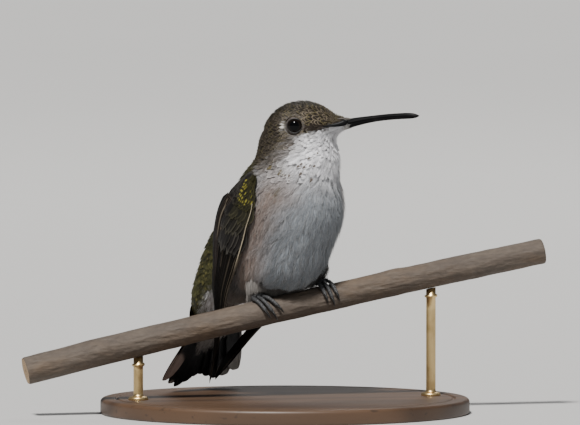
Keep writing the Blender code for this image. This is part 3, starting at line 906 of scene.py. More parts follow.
def feather_scale(points):
    """How large feathers are, against 1 at the middle of the back."""
    at = Places(points)
    to_bill = np.linalg.norm(points - HEAD.at(11.8, 0, BILL_HEIGHT), axis=-1)
    near_bill = ease(1 - (to_bill - 1.0) / 5.0)
    near_eye = bell(at.eye_reach, 1.5, 2.4)
    near_line = bell(at.dark_side, 0, 1.8) * ease(at.head[..., 0] / 3)
    head = 0.66 * (1 - 0.52 * near_bill) * (1 - 0.42 * near_eye) * (1 - 0.3 * near_line)
    throat = ease((-at.head[..., 2] - 1.5) / 4)
    head = head * (1 + 0.15 * throat)
    neck = ease((20 - at.down) / 7)
    return head * (1 - neck) + (0.95 - 0.2 * ease((at.down - 4) / 12)) * neck


def under_wing(points):
    """1 well under a folded wing and 0 clear of it."""
    place = TRUNK.local(points)
    up, _, leads, trails = np.transpose(WING_STATIONS)
    lead, trail = (np.interp(-place[..., 2], -up, edge) for edge in (leads, trails))
    inside = np.minimum(lead - place[..., 0], place[..., 0] - trail)
    covered = ease(inside / 2.0 - 0.3) * ease((np.abs(place[..., 1]) - 3) / 2)
    return covered * ease((14 - place[..., 2]) / 2)


def root_places():
    """Seeded roots spread over the skin, closer where feathers are small, and their unwrapped places."""
    rings, sides, tries = 420, 300, 150000
    grid = skin_grid(rings, sides)
    edge_a = grid[1:, :-1] - grid[:-1, :-1]
    edge_b = grid[:-1, 1:] - grid[:-1, :-1]
    area = np.linalg.norm(np.cross(edge_a, edge_b), axis=-1)
    spacing = 0.90 * feather_scale(grid[:-1, :-1]) * (1 + 0.9 * under_wing(grid[:-1, :-1]))
    weight = (area / spacing**2).ravel()
    cell = RANDOM.choice(weight.size, size=tries, p=weight / weight.sum())
    i, j = np.divmod(cell, sides)
    u, v = RANDOM.random((2, tries))
    place = (
        grid[i, j] * ((1 - u) * (1 - v))[:, None]
        + grid[i + 1, j] * (u * (1 - v))[:, None]
        + grid[i, j + 1] * ((1 - u) * v)[:, None]
        + grid[i + 1, j + 1] * (u * v)[:, None]
    )
    room = spacing[i, j]
    tree = KDTree(tries)
    for index, point in enumerate(place):
        tree.insert(point, index)
    tree.balance()
    taken = np.zeros(tries, bool)
    kept = []
    for index in range(tries):
        if taken[index]:
            continue
        kept.append(index)
        for _, other, _ in tree.find_range(place[index], room[index]):
            taken[other] = True
    kept = np.array(kept)
    unwrapped = np.stack([0.01 + 0.98 * (j + v) / sides, 0.01 + 0.98 * (i + u) / (rings - 1)], -1)
    return place[kept], unwrapped[kept]


def lie_of_coat(points):
    """The way feathers point: back from the bill over the head, down the body and out over the rump."""
    at = Places(points)
    from_bill = unit(points - HEAD.at(12.5, 0, 1.6))
    side = np.sign(at.trunk[..., 1:2]) * np.minimum(np.abs(at.trunk[..., 1:2]) / 9, 1)
    down_body = unit(-TRUNK.axes[2] + 0.22 * side * TRUNK.axes[1] * ease((at.down[..., None] + 2) / 12))
    down_tail = -TAIL.axes[2]
    body = ease((22 - at.down) / 15)[..., None]
    tail = ease((-7 - at.down) / 7)[..., None]
    return unit(from_bill * (1 - body) + (down_body * (1 - tail) + down_tail * tail) * body)


def clear_eyes(points):
    """Draws feather points that would lie over an eye back to its rim."""
    local = HEAD.local(points)
    side = np.where(local[..., 1] < 0, -1.0, 1.0)
    off = local[..., [0, 2]] - np.array([EYE_PLACE[0], EYE_PLACE[2]])
    reach = np.linalg.norm(off, axis=-1)
    rim = EYE_RIM + 0.25 * ease(reach / EYE_RIM)
    near = (reach < rim) & (np.abs(local[..., 1]) > SIDE_FROM)
    factor = np.where(near, rim / np.maximum(reach, 0.05), 1.0)
    moved = local.copy()
    moved[..., 0] = EYE_PLACE[0] + off[..., 0] * factor
    moved[..., 2] = EYE_PLACE[2] + off[..., 1] * factor
    moved[..., 1] = np.where(near, side * np.minimum(np.abs(local[..., 1]), RIM_REACH), local[..., 1])
    return np.where(near[..., None], HEAD.at(moved[..., 0], moved[..., 1], moved[..., 2]), points)


class Paths:
    """The middle lines of many feathers: places, ways out and sideways at even steps from root to tip."""

    steps = 7

    def __init__(self, places, out, sideways):
        self.places, self.out, self.sideways = places, out, sideways

    @classmethod
    def over_coat(cls, roots, length, lift, swing):
        """Lines from the skin that follow the lie of the coat and rise to lift over it at their tips."""
        place, out = settle(roots, -COAT_DEPTH, 2)
        way = lie_of_coat(place)
        way = way + np.cross(out, way) * swing[:, None]
        rows = [(place, out, np.cross(level_with(way, out), out))]
        for step in range(1, cls.steps):
            t = step / (cls.steps - 1)
            way = level_with(way, out)
            rise = -COAT_DEPTH + (COAT_DEPTH + lift) * t**0.75
            place, out = settle(place + way * (length / (cls.steps - 1))[:, None], rise, 2)
            rows.append((place, out, np.cross(level_with(way, out), out)))
        return cls(*(np.stack(column, 1) for column in zip(*rows)))

    @classmethod
    def through(cls, places, out):
        """Lines through these places, with sideways at right angles to each line and its way out."""
        return cls(places, out, unit(np.cross(unit(np.gradient(places, axis=1)), out)))

    def at(self, t):
        """Place, way out and sideways at a share of the way along, one row of shares for each feather."""
        spot = np.clip(t, 0, 1) * (self.steps - 1)
        i = np.minimum(spot.astype(int), self.steps - 2)
        u = (spot - i)[..., None]
        rows = np.arange(len(self.places)).reshape((-1,) + (1,) * (t.ndim - 1))
        fields = (self.places, self.out, self.sideways)
        return [field[rows, i] * (1 - u) + field[rows, i + 1] * u for field in fields]


def patch_map(roots, across, along, size=PATCH):
    """Each feather's small patch on the unwrapped skin, at its root's own place."""
    u = roots[:, None, 0] + size * 0.5 * across
    v = roots[:, None, 1] + size * (along - 0.5)
    return np.stack([u, v], -1).reshape(-1, 2)


def coat_arrays(points, cell, colours, across, along, chance, unwrapped, patch=PATCH):
    """What a coat piece is made of. cell holds one feather's faces, and the rest goes with its points."""
    count, size = points.shape[:2]
    body, edge, spot = (np.repeat(c[:, None], size, 1).reshape(-1, 4) for c in colours)
    across, along, chance = np.broadcast_arrays(across, along, chance[:, None])
    faces = (cell[None] + (np.arange(count) * size)[:, None, None]).reshape(-1, 4)
    return {
        "points": points.reshape(-1, 3),
        "faces": faces,
        "values": {
            "body": body,
            "edge": edge,
            "spot": spot,
            "vane": np.stack([across, along, chance], -1).reshape(-1, 3),
        },
        "OFBake": patch_map(unwrapped, across, along, patch),
    }


COARSE = (5, (0, 0.3, 0.55, 0.76, 0.9, 1.0))  # a vane's columns, and its stations from root to tip
FINE = (7, (0, 0.2, 0.4, 0.58, 0.73, 0.85, 0.94, 1.0))


def vanes(paths, unwrapped, width, colours, cup, chance, grid=COARSE, patch=PATCH):
    """Broad feathers with rounded tips, each a small cupped sheet."""
    count = len(unwrapped)
    columns, stations = grid
    cells = np.meshgrid(stations, np.linspace(-1, 1, columns), indexing="ij")
    lengthwise, crosswise = (values.ravel() for values in cells)
    lag = 0.16 * crosswise**2 * ease(lengthwise / 0.6)
    tip = np.sqrt(np.clip(1 - ((lengthwise - 0.5) / 0.53) ** 2, 0.02, 1))
    profile = np.where(lengthwise < 0.5, 0.45 + 0.55 * ease(lengthwise / 0.5), tip)
    along = np.broadcast_to(lengthwise - lag, (count, len(lengthwise)))
    ragged = 1 + 0.10 * np.sin(chance[:, None] * 40 + crosswise * 9) * (lengthwise > 0.85)
    place, out, sideways = paths.at(along * ragged)
    spread = (width[:, None] * 0.5 * crosswise * profile)[..., None]
    sag = (cup * width[:, None] * (crosswise * profile) ** 2)[..., None]
    points = place + sideways * spread - out * sag
    cell = grid_faces(len(stations), columns)
    return coat_arrays(points, cell, colours, crosswise, lengthwise, chance, unwrapped, patch)


def tufts(paths, unwrapped, width, colours, chance, barbs=11, thick=0.11):
    """Loose feathers, each a fan of fine barbs that part from its root and lie side by side."""
    count = len(unwrapped)
    stations = (0.0, 0.28, 0.55, 0.8, 1.0)
    cells = np.meshgrid(np.linspace(-1, 1, barbs), stations, (-1.0, 1.0), indexing="ij")
    lean, lengthwise, barb_side = (values.ravel() for values in cells)
    barb = np.repeat(np.arange(barbs), len(stations) * 2)
    reach = RANDOM.uniform(0.78, 1.0, (count, barbs))[:, barb] * (1 - 0.30 * lean**2)
    drift = RANDOM.normal(0, 0.10, (count, barbs))[:, barb]
    stray = RANDOM.normal(0, 0.07, (count, barbs))[:, barb]
    place, out, sideways = paths.at(lengthwise * reach)
    fan = lean * (0.22 + 0.78 * ease(lengthwise * 0.9 + 0.05)) + drift * lengthwise**1.5
    fine = thick * (1 - 0.82 * lengthwise**2.2)
    off = (width[:, None] * 0.5 * fan + barb_side * fine / 2)[..., None]
    lift = (stray * lengthwise - 0.10 * width[:, None] * lean**2)[..., None]
    points = place + sideways * off + out * lift
    strip = grid_faces(len(stations), 2)
    cell = (strip[None] + (np.arange(barbs) * len(stations) * 2)[:, None, None]).reshape(-1, 4)
    return coat_arrays(points, cell, colours, lean, lengthwise, chance, unwrapped)


def lay(name, made, material):
    """A coat piece from the arrays that vanes() or tufts() gives."""
    points, maps = clear_eyes(made["points"]), {"OFBake": made["OFBake"]}
    new_piece(name, points, made["faces"], material, (), made["values"], maps)


def lay_strands(name, paths, body, chance, width, barbs, thick, down, rooted):
    """Loose feathers of one colour each, unwrapped at the nearest of the coat's own roots."""
    roots, unwrapped = rooted
    nearest = np.linalg.norm(paths.places[:, :1] - roots[None], axis=2).argmin(1)
    colours = [with_share(body, 0.0)] * 3
    lay(name, tufts(paths, unwrapped[nearest], width, colours, chance, barbs, thick), down)


def make_coat(vane, pale, down):
    """The feathers on the skin, in areas that each have a kind. Gives their roots and unwrapped places."""
    roots, unwrapped = root_places()
    chance = RANDOM.random(len(roots))
    scale = feather_scale(roots)
    at_root = Places(roots)
    clear = (at_root.eye_reach > EYE_RIM) | (np.abs(at_root.head[:, 1]) < SIDE_FROM)
    clear &= at_root.head[:, 0] < FACE_REACH
    showing = roots + lie_of_coat(roots) * 1.8 * scale[:, None]  # where the feather's outer half lies
    at = Places(showing)
    colours = plumage_colours(showing, chance)
    toss = RANDOM.random(len(roots))
    upper = at.dark_side > RANDOM.normal(-0.3, 0.5, len(roots))
    dark = upper & (at.rump_tuft < 0.3) & (at.ear < 0.35 + 0.4 * toss)
    scaly = dark | (at.gorget * 0.50 > 0.12 + 0.75 * toss) | (colours[2][:, 3] > 0.15)
    beneath = under_wing(roots)
    swing = RANDOM.normal(0, 0.10, len(roots)) + (scatter(roots, 3.0, 8) - 0.5) * 0.9 * ~dark
    clump = ease(scatter(roots, 1.9, 9) * 2.2 - 0.8)

    def group(name, chosen, kind, material):
        chosen = chosen & clear
        parts = [c[chosen] for c in colours]
        size, luck = scale[chosen], chance[chosen]
        if kind == "vane":
            length = size * 3.0 * (0.9 + 0.25 * luck)
            width = size * 1.9 * (0.9 + 0.2 * RANDOM.random(len(size)))
            lift = 0.02 + (0.07 + 0.09 * dark[chosen]) * RANDOM.random(len(size))
            paths = Paths.over_coat(roots[chosen], length, lift, swing[chosen])
            made = vanes(paths, unwrapped[chosen], width, parts, 0.10, luck)
        else:
            length = (1.0 + size * 3.6) * (0.85 + 0.3 * luck)
            width = size * 1.9
            lift = 0.05 + 0.16 * RANDOM.random(len(size)) * size + 0.34 * clump[chosen] * size
            lift = lift * (1 - 0.8 * beneath[chosen])
            paths = Paths.over_coat(roots[chosen], length, lift, swing[chosen] * 1.3)
            made = tufts(paths, unwrapped[chosen], width, parts, luck)
        lay(name, made, material)

    high, low = at_root.down > 19, at_root.down < -8
    middle = ~high & ~low
    right = at_root.trunk[:, 1] > 0
    group("coat_crown", high & dark, "vane", vane)
    group("coat_throat", scaly & ~dark, "vane", pale)
    group("coat_back", dark & middle, "vane", vane)
    group("coat_rump", dark & low, "vane", vane)
    group("coat_cheeks", ~scaly & high, "tuft", down)
    group("coat_breast_right", ~scaly & middle & right, "tuft", down)
    group("coat_breast_left", ~scaly & middle & ~right, "tuft", down)
    group("coat_belly", ~scaly & low, "tuft", down)
    return roots, unwrapped


def make_leg_fluff(down, rooted):
    """Loose feathers that hang from the belly over the top of each foot, kept dark as painted shade under the
    belly, darker over the left one, partly the dark leg there and partly painted shade, and paler past the
    right one.
    """
    starts, ends, outs = [], [], []
    for _ in range(FLUFF_STRANDS):
        x, angle = RANDOM.uniform(-8.0, 10.5), RANDOM.uniform(-60, 20)  # along the twig and round it
        near_foot = min(abs(x - place) for place, _ in FEET.values())
        over_toes = ease((3.0 - near_foot) / 1.2) * ease((angle + 28) / 18)
        clearance = -0.5 + 1.7 * over_toes + 0.3 * RANDOM.random()
        end = round_twig(x, angle, clearance)
        starts.append(end + np.array((0, 0.4, 3.0 + 1.6 * RANDOM.random())))
        ends.append(end)
        outs.append(unit(end - twig_centre(x) + np.array((0, -2.5, 0))))
    starts, _ = settle(np.array(starts), -0.4, 4)
    ends, outs = np.array(ends), np.array(outs)
    t = np.linspace(0, 1, Paths.steps)[:, None]
    places = starts[:, None] * (1 - t) + ends[:, None] * t + outs[:, None] * (0.5 * t * (1 - t))
    paths = Paths.through(places, np.broadcast_to(outs[:, None], places.shape))
    chance = RANDOM.random(len(ends))
    # dark grey: painted shade, to match the shaded belly beside the feet
    body = blend(chance, (0.062, 0.058, 0.054), (0.125, 0.117, 0.11))
    # darker over the left foot: partly the dark leg, partly painted shade where the belly meets the twig
    body = blend(ease((ends[:, 0] - 4.5) / 2) * 0.7, body, (0.02, 0.019, 0.018))
    body = body * (1 + 0.8 * ease((-4.5 - ends[:, 0]) / 2))[:, None]
    lay_strands("leg_fluff", paths, body, chance, 1.0 + 0.5 * chance, 7, 0.09, down, rooted)


# ---- bill ----


def bill_line(t):
    """The mouth's line from the face, at 0, to the tip, at 1, and the bill's half depth and width there."""
    rise = BILL_LENGTH * (BILL_RISE * t - BILL_DROOP * t * t)
    middle = BILL_ROOT + (BILL_LENGTH * t)[:, None] * HEAD.axes[0] + rise[:, None] * HEAD.axes[2]
    near_tip = np.clip((t - 0.80) / 0.20, 0, 1)
    taper = 1 - 0.35 * near_tip**2 - 0.60 * near_tip**5
    depths = (BILL_BASE_DEPTH, BILL_MID_DEPTH * 1.1, BILL_MID_DEPTH, BILL_MID_DEPTH)
    widths = (BILL_BASE_WIDTH, BILL_MID_WIDTH * 1.1, BILL_MID_WIDTH, BILL_MID_WIDTH * 0.95)
    return middle, between(t, *depths) / 2 * taper, between(t, *widths) / 2 * taper


def make_bill(horn):
    """Two slim halves that meet along the mouth, with a ridge above and a groove beside it near the face."""
    turn = np.linspace(0, pi, 17)
    shapes = {"upper_bill": (1, 1.0, 1.0, "bill_upper"), "lower_bill": (-1, 0.93, 0.998, "bill_lower")}
    for name, (way, breadth, end, node) in shapes.items():
        t = np.concatenate([np.linspace(-0.16, 0.8, 60), np.linspace(0.81, end, 26)])
        middle, depth, width = bill_line(t)
        near_face = ease(1 - t / 0.35)[:, None]
        groove = 0.10 * near_face * np.exp(-(((turn - 0.62) / 0.22) ** 2))
        groove = groove + 0.10 * near_face * np.exp(-(((pi - turn - 0.62) / 0.22) ** 2))
        ridge = 0.05 * np.exp(-(((turn - pi / 2) / 0.3) ** 2)) * (1 - 0.5 * near_face)
        swell = 1 - groove * (way > 0) + ridge
        seam = 0.01 if way < 0 else -0.035  # the upper half's rim hangs just over the lower half's
        rise = way * (seam + depth[:, None] * np.sin(turn) * swell)
        over = middle[:, None] + rise[..., None] * HEAD.axes[2]
        over = over + (breadth * width[:, None] * np.cos(turn) * swell)[..., None] * HEAD.axes[1]
        inset = np.linspace(-0.8, 0.8, 5)
        under = middle[:, None] + (breadth * width[:, None] * inset)[..., None] * HEAD.axes[1]
        hollow = way * 0.01 + way * 0.25 * depth[:, None] * (1 - inset**2) * (way > 0)
        under = under + hollow[..., None] * HEAD.axes[2]
        rings = np.concatenate([over, under], 1)
        tip = middle[-1:, None] + (rings[-1:] - middle[-1:, None]) * 0.03 + 0.10 * HEAD.axes[0]
        rings = np.concatenate([rings, tip])
        new_piece(name, rings, grid_faces(len(rings), rings.shape[1], closed=True), horn, (node,))


def make_gape(horn, bare):
    """The corners of the gape, which run back over the face, and the flaps over the nostrils."""
    gape, flaps = Build(), Build()
    s = np.linspace(0, 1, 24)
    turn = full_turn(16)
    for sign in (1, -1):
        corner = HEAD.at(7.4 + 4.8 * s, sign * (4.0 - 3.1 * s), 2.05 + 0.28 * s**1.5)
        line, _ = settle(corner, 0.10)
        closing = 1 - 0.7 * ease((s - 0.86) / 0.14)
        tall = ((0.12 + 0.70 * s**1.1) * closing)[:, None]
        thin = ((0.06 + 0.22 * s) * closing)[:, None]
        gape.tube(line, 1 / np.hypot(np.cos(turn) / thin, np.sin(turn) / tall), len(turn))
        flap = HEAD.at(10.2 + 2.4 * s, sign * (1.9 - 1.25 * s), 3.15 - 0.05 * s)
        line, _ = settle(flap, 0.03)
        flaps.tube(line, 0.03 + 0.13 * np.sin(pi * s**0.8), sides=12)
    gape.finish("gape_corners", horn, "bill")
    flaps.finish("nostril_flaps", bare, "bill")


def make_bill_bristles(down, rooted):
    """Short hair-fine feathers that lie forward over the bill's root: pale below, grey-brown above."""
    chance = RANDOM.random(BRISTLES)
    beneath = np.arange(BRISTLES) < BRISTLES_BENEATH
    lower, upper = RANDOM.uniform(-172, -8, BRISTLES), RANDOM.uniform(28, 152, BRISTLES)
    angle = np.radians(np.where(beneath, lower, upper))
    start = RANDOM.uniform(-0.13, -0.03, BRISTLES)
    reach = np.where(beneath, 0.09 + 0.04 * chance, 0.08 + 0.05 * chance)
    along = np.linspace(0, 1, Paths.steps)
    t = start[:, None] + reach[:, None] * along
    middle, depth, width = bill_line(t.ravel())
    across = (np.cos(angle)[:, None] + 0 * t).ravel()[:, None] * HEAD.axes[1]
    upward = (np.sin(angle)[:, None] + 0 * t).ravel()[:, None] * HEAD.axes[2]
    away = unit(across / width[:, None] + upward / depth[:, None])
    standing = (0.03 + 0.13 * np.sin(pi * along) * chance[:, None]).ravel()[:, None]
    places = middle + across * width[:, None] + upward * depth[:, None] + away * standing
    paths = Paths.through(places.reshape(t.shape + (3,)), away.reshape(t.shape + (3,)))
    pale = blend(chance, (0.62, 0.61, 0.61), (0.30, 0.28, 0.26))
    brown = blend(chance, (0.10, 0.088, 0.072), (0.24, 0.22, 0.20))
    body = np.where(beneath[:, None], pale, brown)
    lay_strands("bill_bristles", paths, body, chance, 0.55 + 0.3 * chance, 5, 0.06, down, rooted)


# ---- eyes ----

LID_PROFILE = (  # degrees out from the opening's edge, and height over the ball
    (0, 0.0), (0.8, 0.07), (2.2, 0.125), (4.2, 0.145), (6.6, 0.13),
    (9.5, 0.135), (13, 0.11), (17, 0.08), (23, 0.02), (32, -0.10),
)


def make_eyes(wet, lid):
    """Each eye: a ball that swells a little in front, and a wrinkled rim of bare skin round it."""
    turns = full_turn(72)
    for side, sign in SIDES.items():
        centre = HEAD.at(EYE_PLACE[0], sign * EYE_PLACE[1], EYE_PLACE[2])
        axis = unit(sign * HEAD.axes[1] + 0.20 * HEAD.axes[0] + 0.03 * HEAD.axes[2])
        front = level_with(HEAD.axes[0], axis)
        top = np.cross(axis, front) * sign

        def shell(polar, reach):
            """Rings at these angles from the eye's axis, at these distances from its centre."""
            polar, reach = np.broadcast_arrays(polar, reach)
            ring = round_about(turns, front, top)
            tilt = np.radians(polar)[..., None]
            return centre + reach[..., None] * (np.cos(tilt) * axis + np.sin(tilt) * ring)

        polar = np.linspace(0.4, 128, 64)[:, None] * np.ones(len(turns))
        bulge = EYE_RADIUS + 0.10 * ease(1 - polar / 36)
        spot = np.stack([0 * polar, polar, 0 * polar + turns], -1).reshape(-1, 3)
        ball = shell(polar, bulge)
        faces = grid_faces(len(polar), len(turns), closed=True)
        new_piece("eyeball_" + side, ball, faces, wet, ("eye_" + side,), {"vane": spot})

        steps, heights = np.array(LID_PROFILE).T[..., None]
        opening = 43.0 + 1.6 * np.cos(2 * turns - 0.3) + 1.4 * ease(np.cos(turns) * 3 - 1.8)
        crinkle = 1 + 0.10 * np.sin(turns * 17 + steps) + 0.08 * np.sin(turns * 29 - steps * 2)
        ring = shell(opening + steps * (1 + 0 * turns), EYE_RADIUS + heights * crinkle)
        spot = np.stack([0 * crinkle, steps + 0 * crinkle, 0 * crinkle + turns], -1).reshape(-1, 3)
        faces = grid_faces(len(steps), len(turns), closed=True)
        new_piece("eyelid_" + side, ring, faces, lid, (), {"vane": spot})


# ---- legs and feet ----


def toe_path(side, toe, t, over):
    """Points along a toe and its claw, at these heights over the twig."""
    x, toes = FEET[side]
    reach, last = toes[toe]
    start = -SIDES[side] * TOE_STARTS[toe]
    first = 10 if last > 0 else -26
    places, angles = x + start + (reach - start) * t, first + (last - first) * t
    return np.array([round_twig(*step) for step in zip(places, angles, over)])


CLAW_START = 0.60  # share of the toe's length at which its claw begins


def add_toe(toes, claws, side, toe):
    """A slim toe, swollen at its joints, with plates along its back, and the curved claw it ends in."""
    t = np.linspace(0, CLAW_START + 0.03, 64)
    joints = bell(t, 0.22, 0.06) + bell(t, 0.43, 0.05) + 0.8 * bell(t, CLAW_START, 0.05)
    plates = np.abs(np.sin(t * 44)) ** 0.6
    radii = TOE_RADIUS * (1.02 + 0.12 * plates + 0.12 * joints - 0.16 * t)
    toes.tube(toe_path(side, toe, t, TOE_CLEARANCE + 0.9 * TOE_RADIUS + 0 * t), radii, sides=14)
    t = np.linspace(CLAW_START - 0.02, 1, 26)
    share = (t - t[0]) / (1 - t[0])
    radii = 0.34 * (1 - share) ** 0.7 + 0.035
    hump = 0.50 * np.sin(pi * share**0.85)
    claws.tube(toe_path(side, toe, t, TOE_CLEARANCE + 0.30 * (1 - share) + hump), radii, sides=12)


def add_shank(toes, side):
    """The foot's palm across the twig, and the bare shank up from it."""
    x = FEET[side][0]
    ends = np.linspace(-1.25, 1.25, 11)
    palm = np.array([round_twig(x + e, -4, 0.72 + 0.16 * cos(e)) for e in ends])
    toes.tube(palm, 0.50 + 0.06 * np.cos(ends * 1.2), sides=14)
    foot = round_twig(x, -8, 0.95)
    s = np.linspace(0, 1, 40)
    shank = foot + (SHANK_LENGTH * s)[:, None] * unit(SHANK_LEANS[side])
    toes.tube(shank, SHANK_RADIUS * between(s, 1.2, 0.88, 1.0) * (1 + 0.05 * np.sin(s * 60)), sides=16)


def make_feet(scaly, claw):
    """Each foot in two pieces: its scaly toes, palm and shank, and its claws."""
    for side in SIDES:
        toes, claws = Build(), Build()
        replaced = ["leg_" + side]
        for toe in FEET[side][1]:
            replaced.append(f"toe_{side}_{toe}")
            add_toe(toes, claws, side, toe)
        add_shank(toes, side)
        toes.finish("foot_" + side, scaly, "feet", replaced)
        claws.finish("claws_" + side, claw, "feet")


# ---- the twig ----

KNOTS = (  # place along the twig, angle round it, rise and size
    (-44.0, 60.0, 0.55, 2.6),
    (25.5, 12.0, 0.35, 1.8),
    (44.0, 115.0, 0.5, 2.2),
    (-24.0, -120.0, 0.5, 2.4),
)


def bark_relief(places, angles):
    """How far the bark stands out at places along the twig and angles round it."""
    fine = scatter(np.stack([places * 0.10, np.cos(angles) * 3.0, np.sin(angles) * 3.0], -1), 0.45, 3)
    waves = scatter(np.stack([places * 0.045, np.cos(angles) * 0.6, np.sin(angles) * 0.6], -1), 1.0, 4)
    rough = ((fine - 0.5) * 0.26 + (waves - 0.5) * 0.18).reshape(places.shape)
    for place, angle, rise, size in KNOTS:
        off = np.radians(angle) - angles
        round_off = twig_radius(places) * np.arctan2(np.sin(off), np.cos(off))
        away = np.hypot((places - place) / 1.4, round_off)
        rough += rise * np.exp(-((away / size) ** 2)) - 0.5 * rise * np.exp(-((away / size * 2.6) ** 2))
    return rough


def make_twig(bark, cut):
    """A weathered twig, with fibres along it and a few old knots."""
    rings, sides = 420, 84
    x = np.linspace(*TWIG_ENDS, rings)
    turn = full_turn(sides)
    along, up, front = (np.array(column) for column in zip(*(twig_axes(place) for place in x)))
    ring = round_about(turn, up[:, None], front[:, None])
    places, angles = np.meshgrid(x, turn, indexing="ij")
    ends = ease(np.minimum(places - TWIG_ENDS[0], TWIG_ENDS[1] - places) / 0.35)
    reach = twig_radius(x)[:, None] + bark_relief(places, angles) - 0.10 - 0.16 * (1 - ends)
    points = twig_centre(x)[:, None] + ring * reach[..., None]
    new_piece("twig_bark", points, grid_faces(rings, sides, closed=True), bark, ("perch",))
    make_cut_ends(points, twig_centre(x), along, cut)


def make_cut_ends(bark_rings, centres, along, cut):
    """A sawn face, a little uneven, inside the last ring of bark at each end."""
    rings = 22
    faces = Build()
    for end, way in ((0, -1), (-1, 1)):
        shares = np.linspace(0.01, 1, rings)
        disc = centres[end] + shares[:, None, None] * (bark_rings[end] - centres[end])[None]
        lumps = (scatter(disc, 0.7, 6).reshape(disc.shape[:2]) - 0.5) * 0.14
        disc = disc + (way * (lumps - 0.05) * (1 - shares**6)[:, None])[..., None] * along[end]
        reach = np.linalg.norm(disc - centres[end], axis=-1)
        spot = np.stack([0 * reach, 0 * reach, reach], -1).reshape(-1, 3)
        faces.add(disc, grid_faces(rings, disc.shape[1], closed=True)[:, ::way], vane=spot)
    faces.finish("twig_cut_ends", cut, "bark")


# ---- the stand ----

ROD_FOOT = (  # radius as a share of the rod's, and height over the base
    (2.0, 0.0), (2.05, 0.15), (2.0, 0.5), (1.75, 0.68), (1.25, 0.8), (1.02, 1.15), (1.0, 1.5),
)
ROD_COLLAR = ((1.3, 2.0), (1.34, 1.8), (1.3, 1.6), (1.0, 1.4), (1.0, 0.1))  # and depth under its top


def turned(profile, sides=144):
    """Rings from (radius, height) pairs, turned about the Z axis."""
    turn = full_turn(sides)
    rim = np.stack([np.cos(turn), np.sin(turn), 0 * turn], -1)
    profile = np.array(profile, float)
    rings = profile[:, :1, None] * rim + profile[:, 1:, None] * np.array((0, 0, 1.0))
    return rings, grid_faces(len(profile), sides, closed=True)


def make_base(walnut):
    """A turned base with a fine groove near its edge. Gives the height of its top."""
    low, high = (np.array(corner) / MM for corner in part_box("stand_base"))
    radius, top = (high[0] - low[0]) / 2, high[2]
    bend = np.radians(np.linspace(0, 90, 7))
    upper_rim = [(radius - 0.9 + 0.9 * sin(a), top - 0.9 + 0.9 * cos(a)) for a in bend]
    lower_rim = [(radius - 0.5 + 0.5 * cos(a), low[2] + 0.5 - 0.5 * sin(a)) for a in bend]
    groove = []
    for across in np.linspace(-0.6, 0.6, 13):
        depth = 0.30 * cos(across * pi / 0.9) if abs(across) < 0.45 else 0.0
        groove.append((radius - 3.6 + across, top - depth))
    centre = [(r, top) for r in np.linspace(0.02, radius - 4.5, 12)]
    under = [(radius - 1.2, low[2]), (radius * 0.5, low[2] + 0.02), (0.02, low[2] + 0.02)]
    rings, faces = turned(centre + groove + upper_rim + lower_rim + under)
    new_piece("display_base", rings, faces[:, ::-1], walnut, ("stand_base",))
    return top


def make_rods(brass, top):
    """Two rods, each with a foot on the base and a collar near its tip, which leans with the twig."""
    for name, x in ROD_PLACES.items():
        rod_low, rod_high = (np.array(corner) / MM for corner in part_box(name))
        reach = (rod_high[0] - rod_low[0]) / 2
        tip = rod_high[2] + 0.12
        foot = [(reach * wide, top + height) for wide, height in ROD_FOOT]
        shaft = [(reach, height) for height in np.linspace(top + 2, tip - 2.2, 8)]
        collar = [(reach * wide, tip - depth) for wide, depth in ROD_COLLAR]
        rings, faces = turned([(0.02, top)] + foot + shaft + collar + [(0.02, tip)], 48)
        rings = rings + np.array((x, (rod_low[1] + rod_high[1]) / 2, 0))
        slope = TWIG_SLOPE + 2 * TWIG_BEND * x
        lean = ease((rings[..., 2] - tip + 2.5) / 2.0) * (rings[..., 0] - x) * slope
        rings[..., 2] += lean
        new_piece(name.replace("stand", "brass"), rings, faces[:, ::-1], brass, (name,))


# ---- wings ----


def wing_point(span, chord, side, height):
    """A point over the wing's inner face, and the way out there. span runs to the tip, chord to the rear."""
    span, chord, height = np.broadcast_arrays(np.asarray(span, float), chord, height)
    stations = between(span.ravel(), *WING_STATIONS).reshape(span.shape + (4,))
    up, out, lead, trail = np.moveaxis(stations, -1, 0)
    outward, onward = (shift * ease((span - 0.6) / 0.4) for shift in WING_TIP_SHIFT[side])
    arch = np.sin(pi * np.clip(chord, 0, 1)) * 0.08 * (lead - trail)
    points = TRUNK.at(lead + (trail - lead) * chord + onward, SIDES[side] * (out + arch + outward), up)
    for _ in range(4):
        short = np.maximum(GAP * 0.6 - body_distance(points), 0)
        points = points + unit(coat_slope(points, body_distance)) * short[..., None]
    away = unit(points - TRUNK.at(0 * up, 0 * up, TRUNK.local(points)[..., 2]))
    return points + away * height[..., None], away


def plate_width(span):
    """The folded wing's width from front to rear."""
    stations = between(np.atleast_1d(span), *WING_STATIONS)
    return stations[:, 2] - stations[:, 3]


VANE_COLUMNS = (-1.0, -0.97, -0.8, -0.6, -0.4, -0.2, -0.05, 0.05, 0.3, 0.6, 0.9, 1.0)


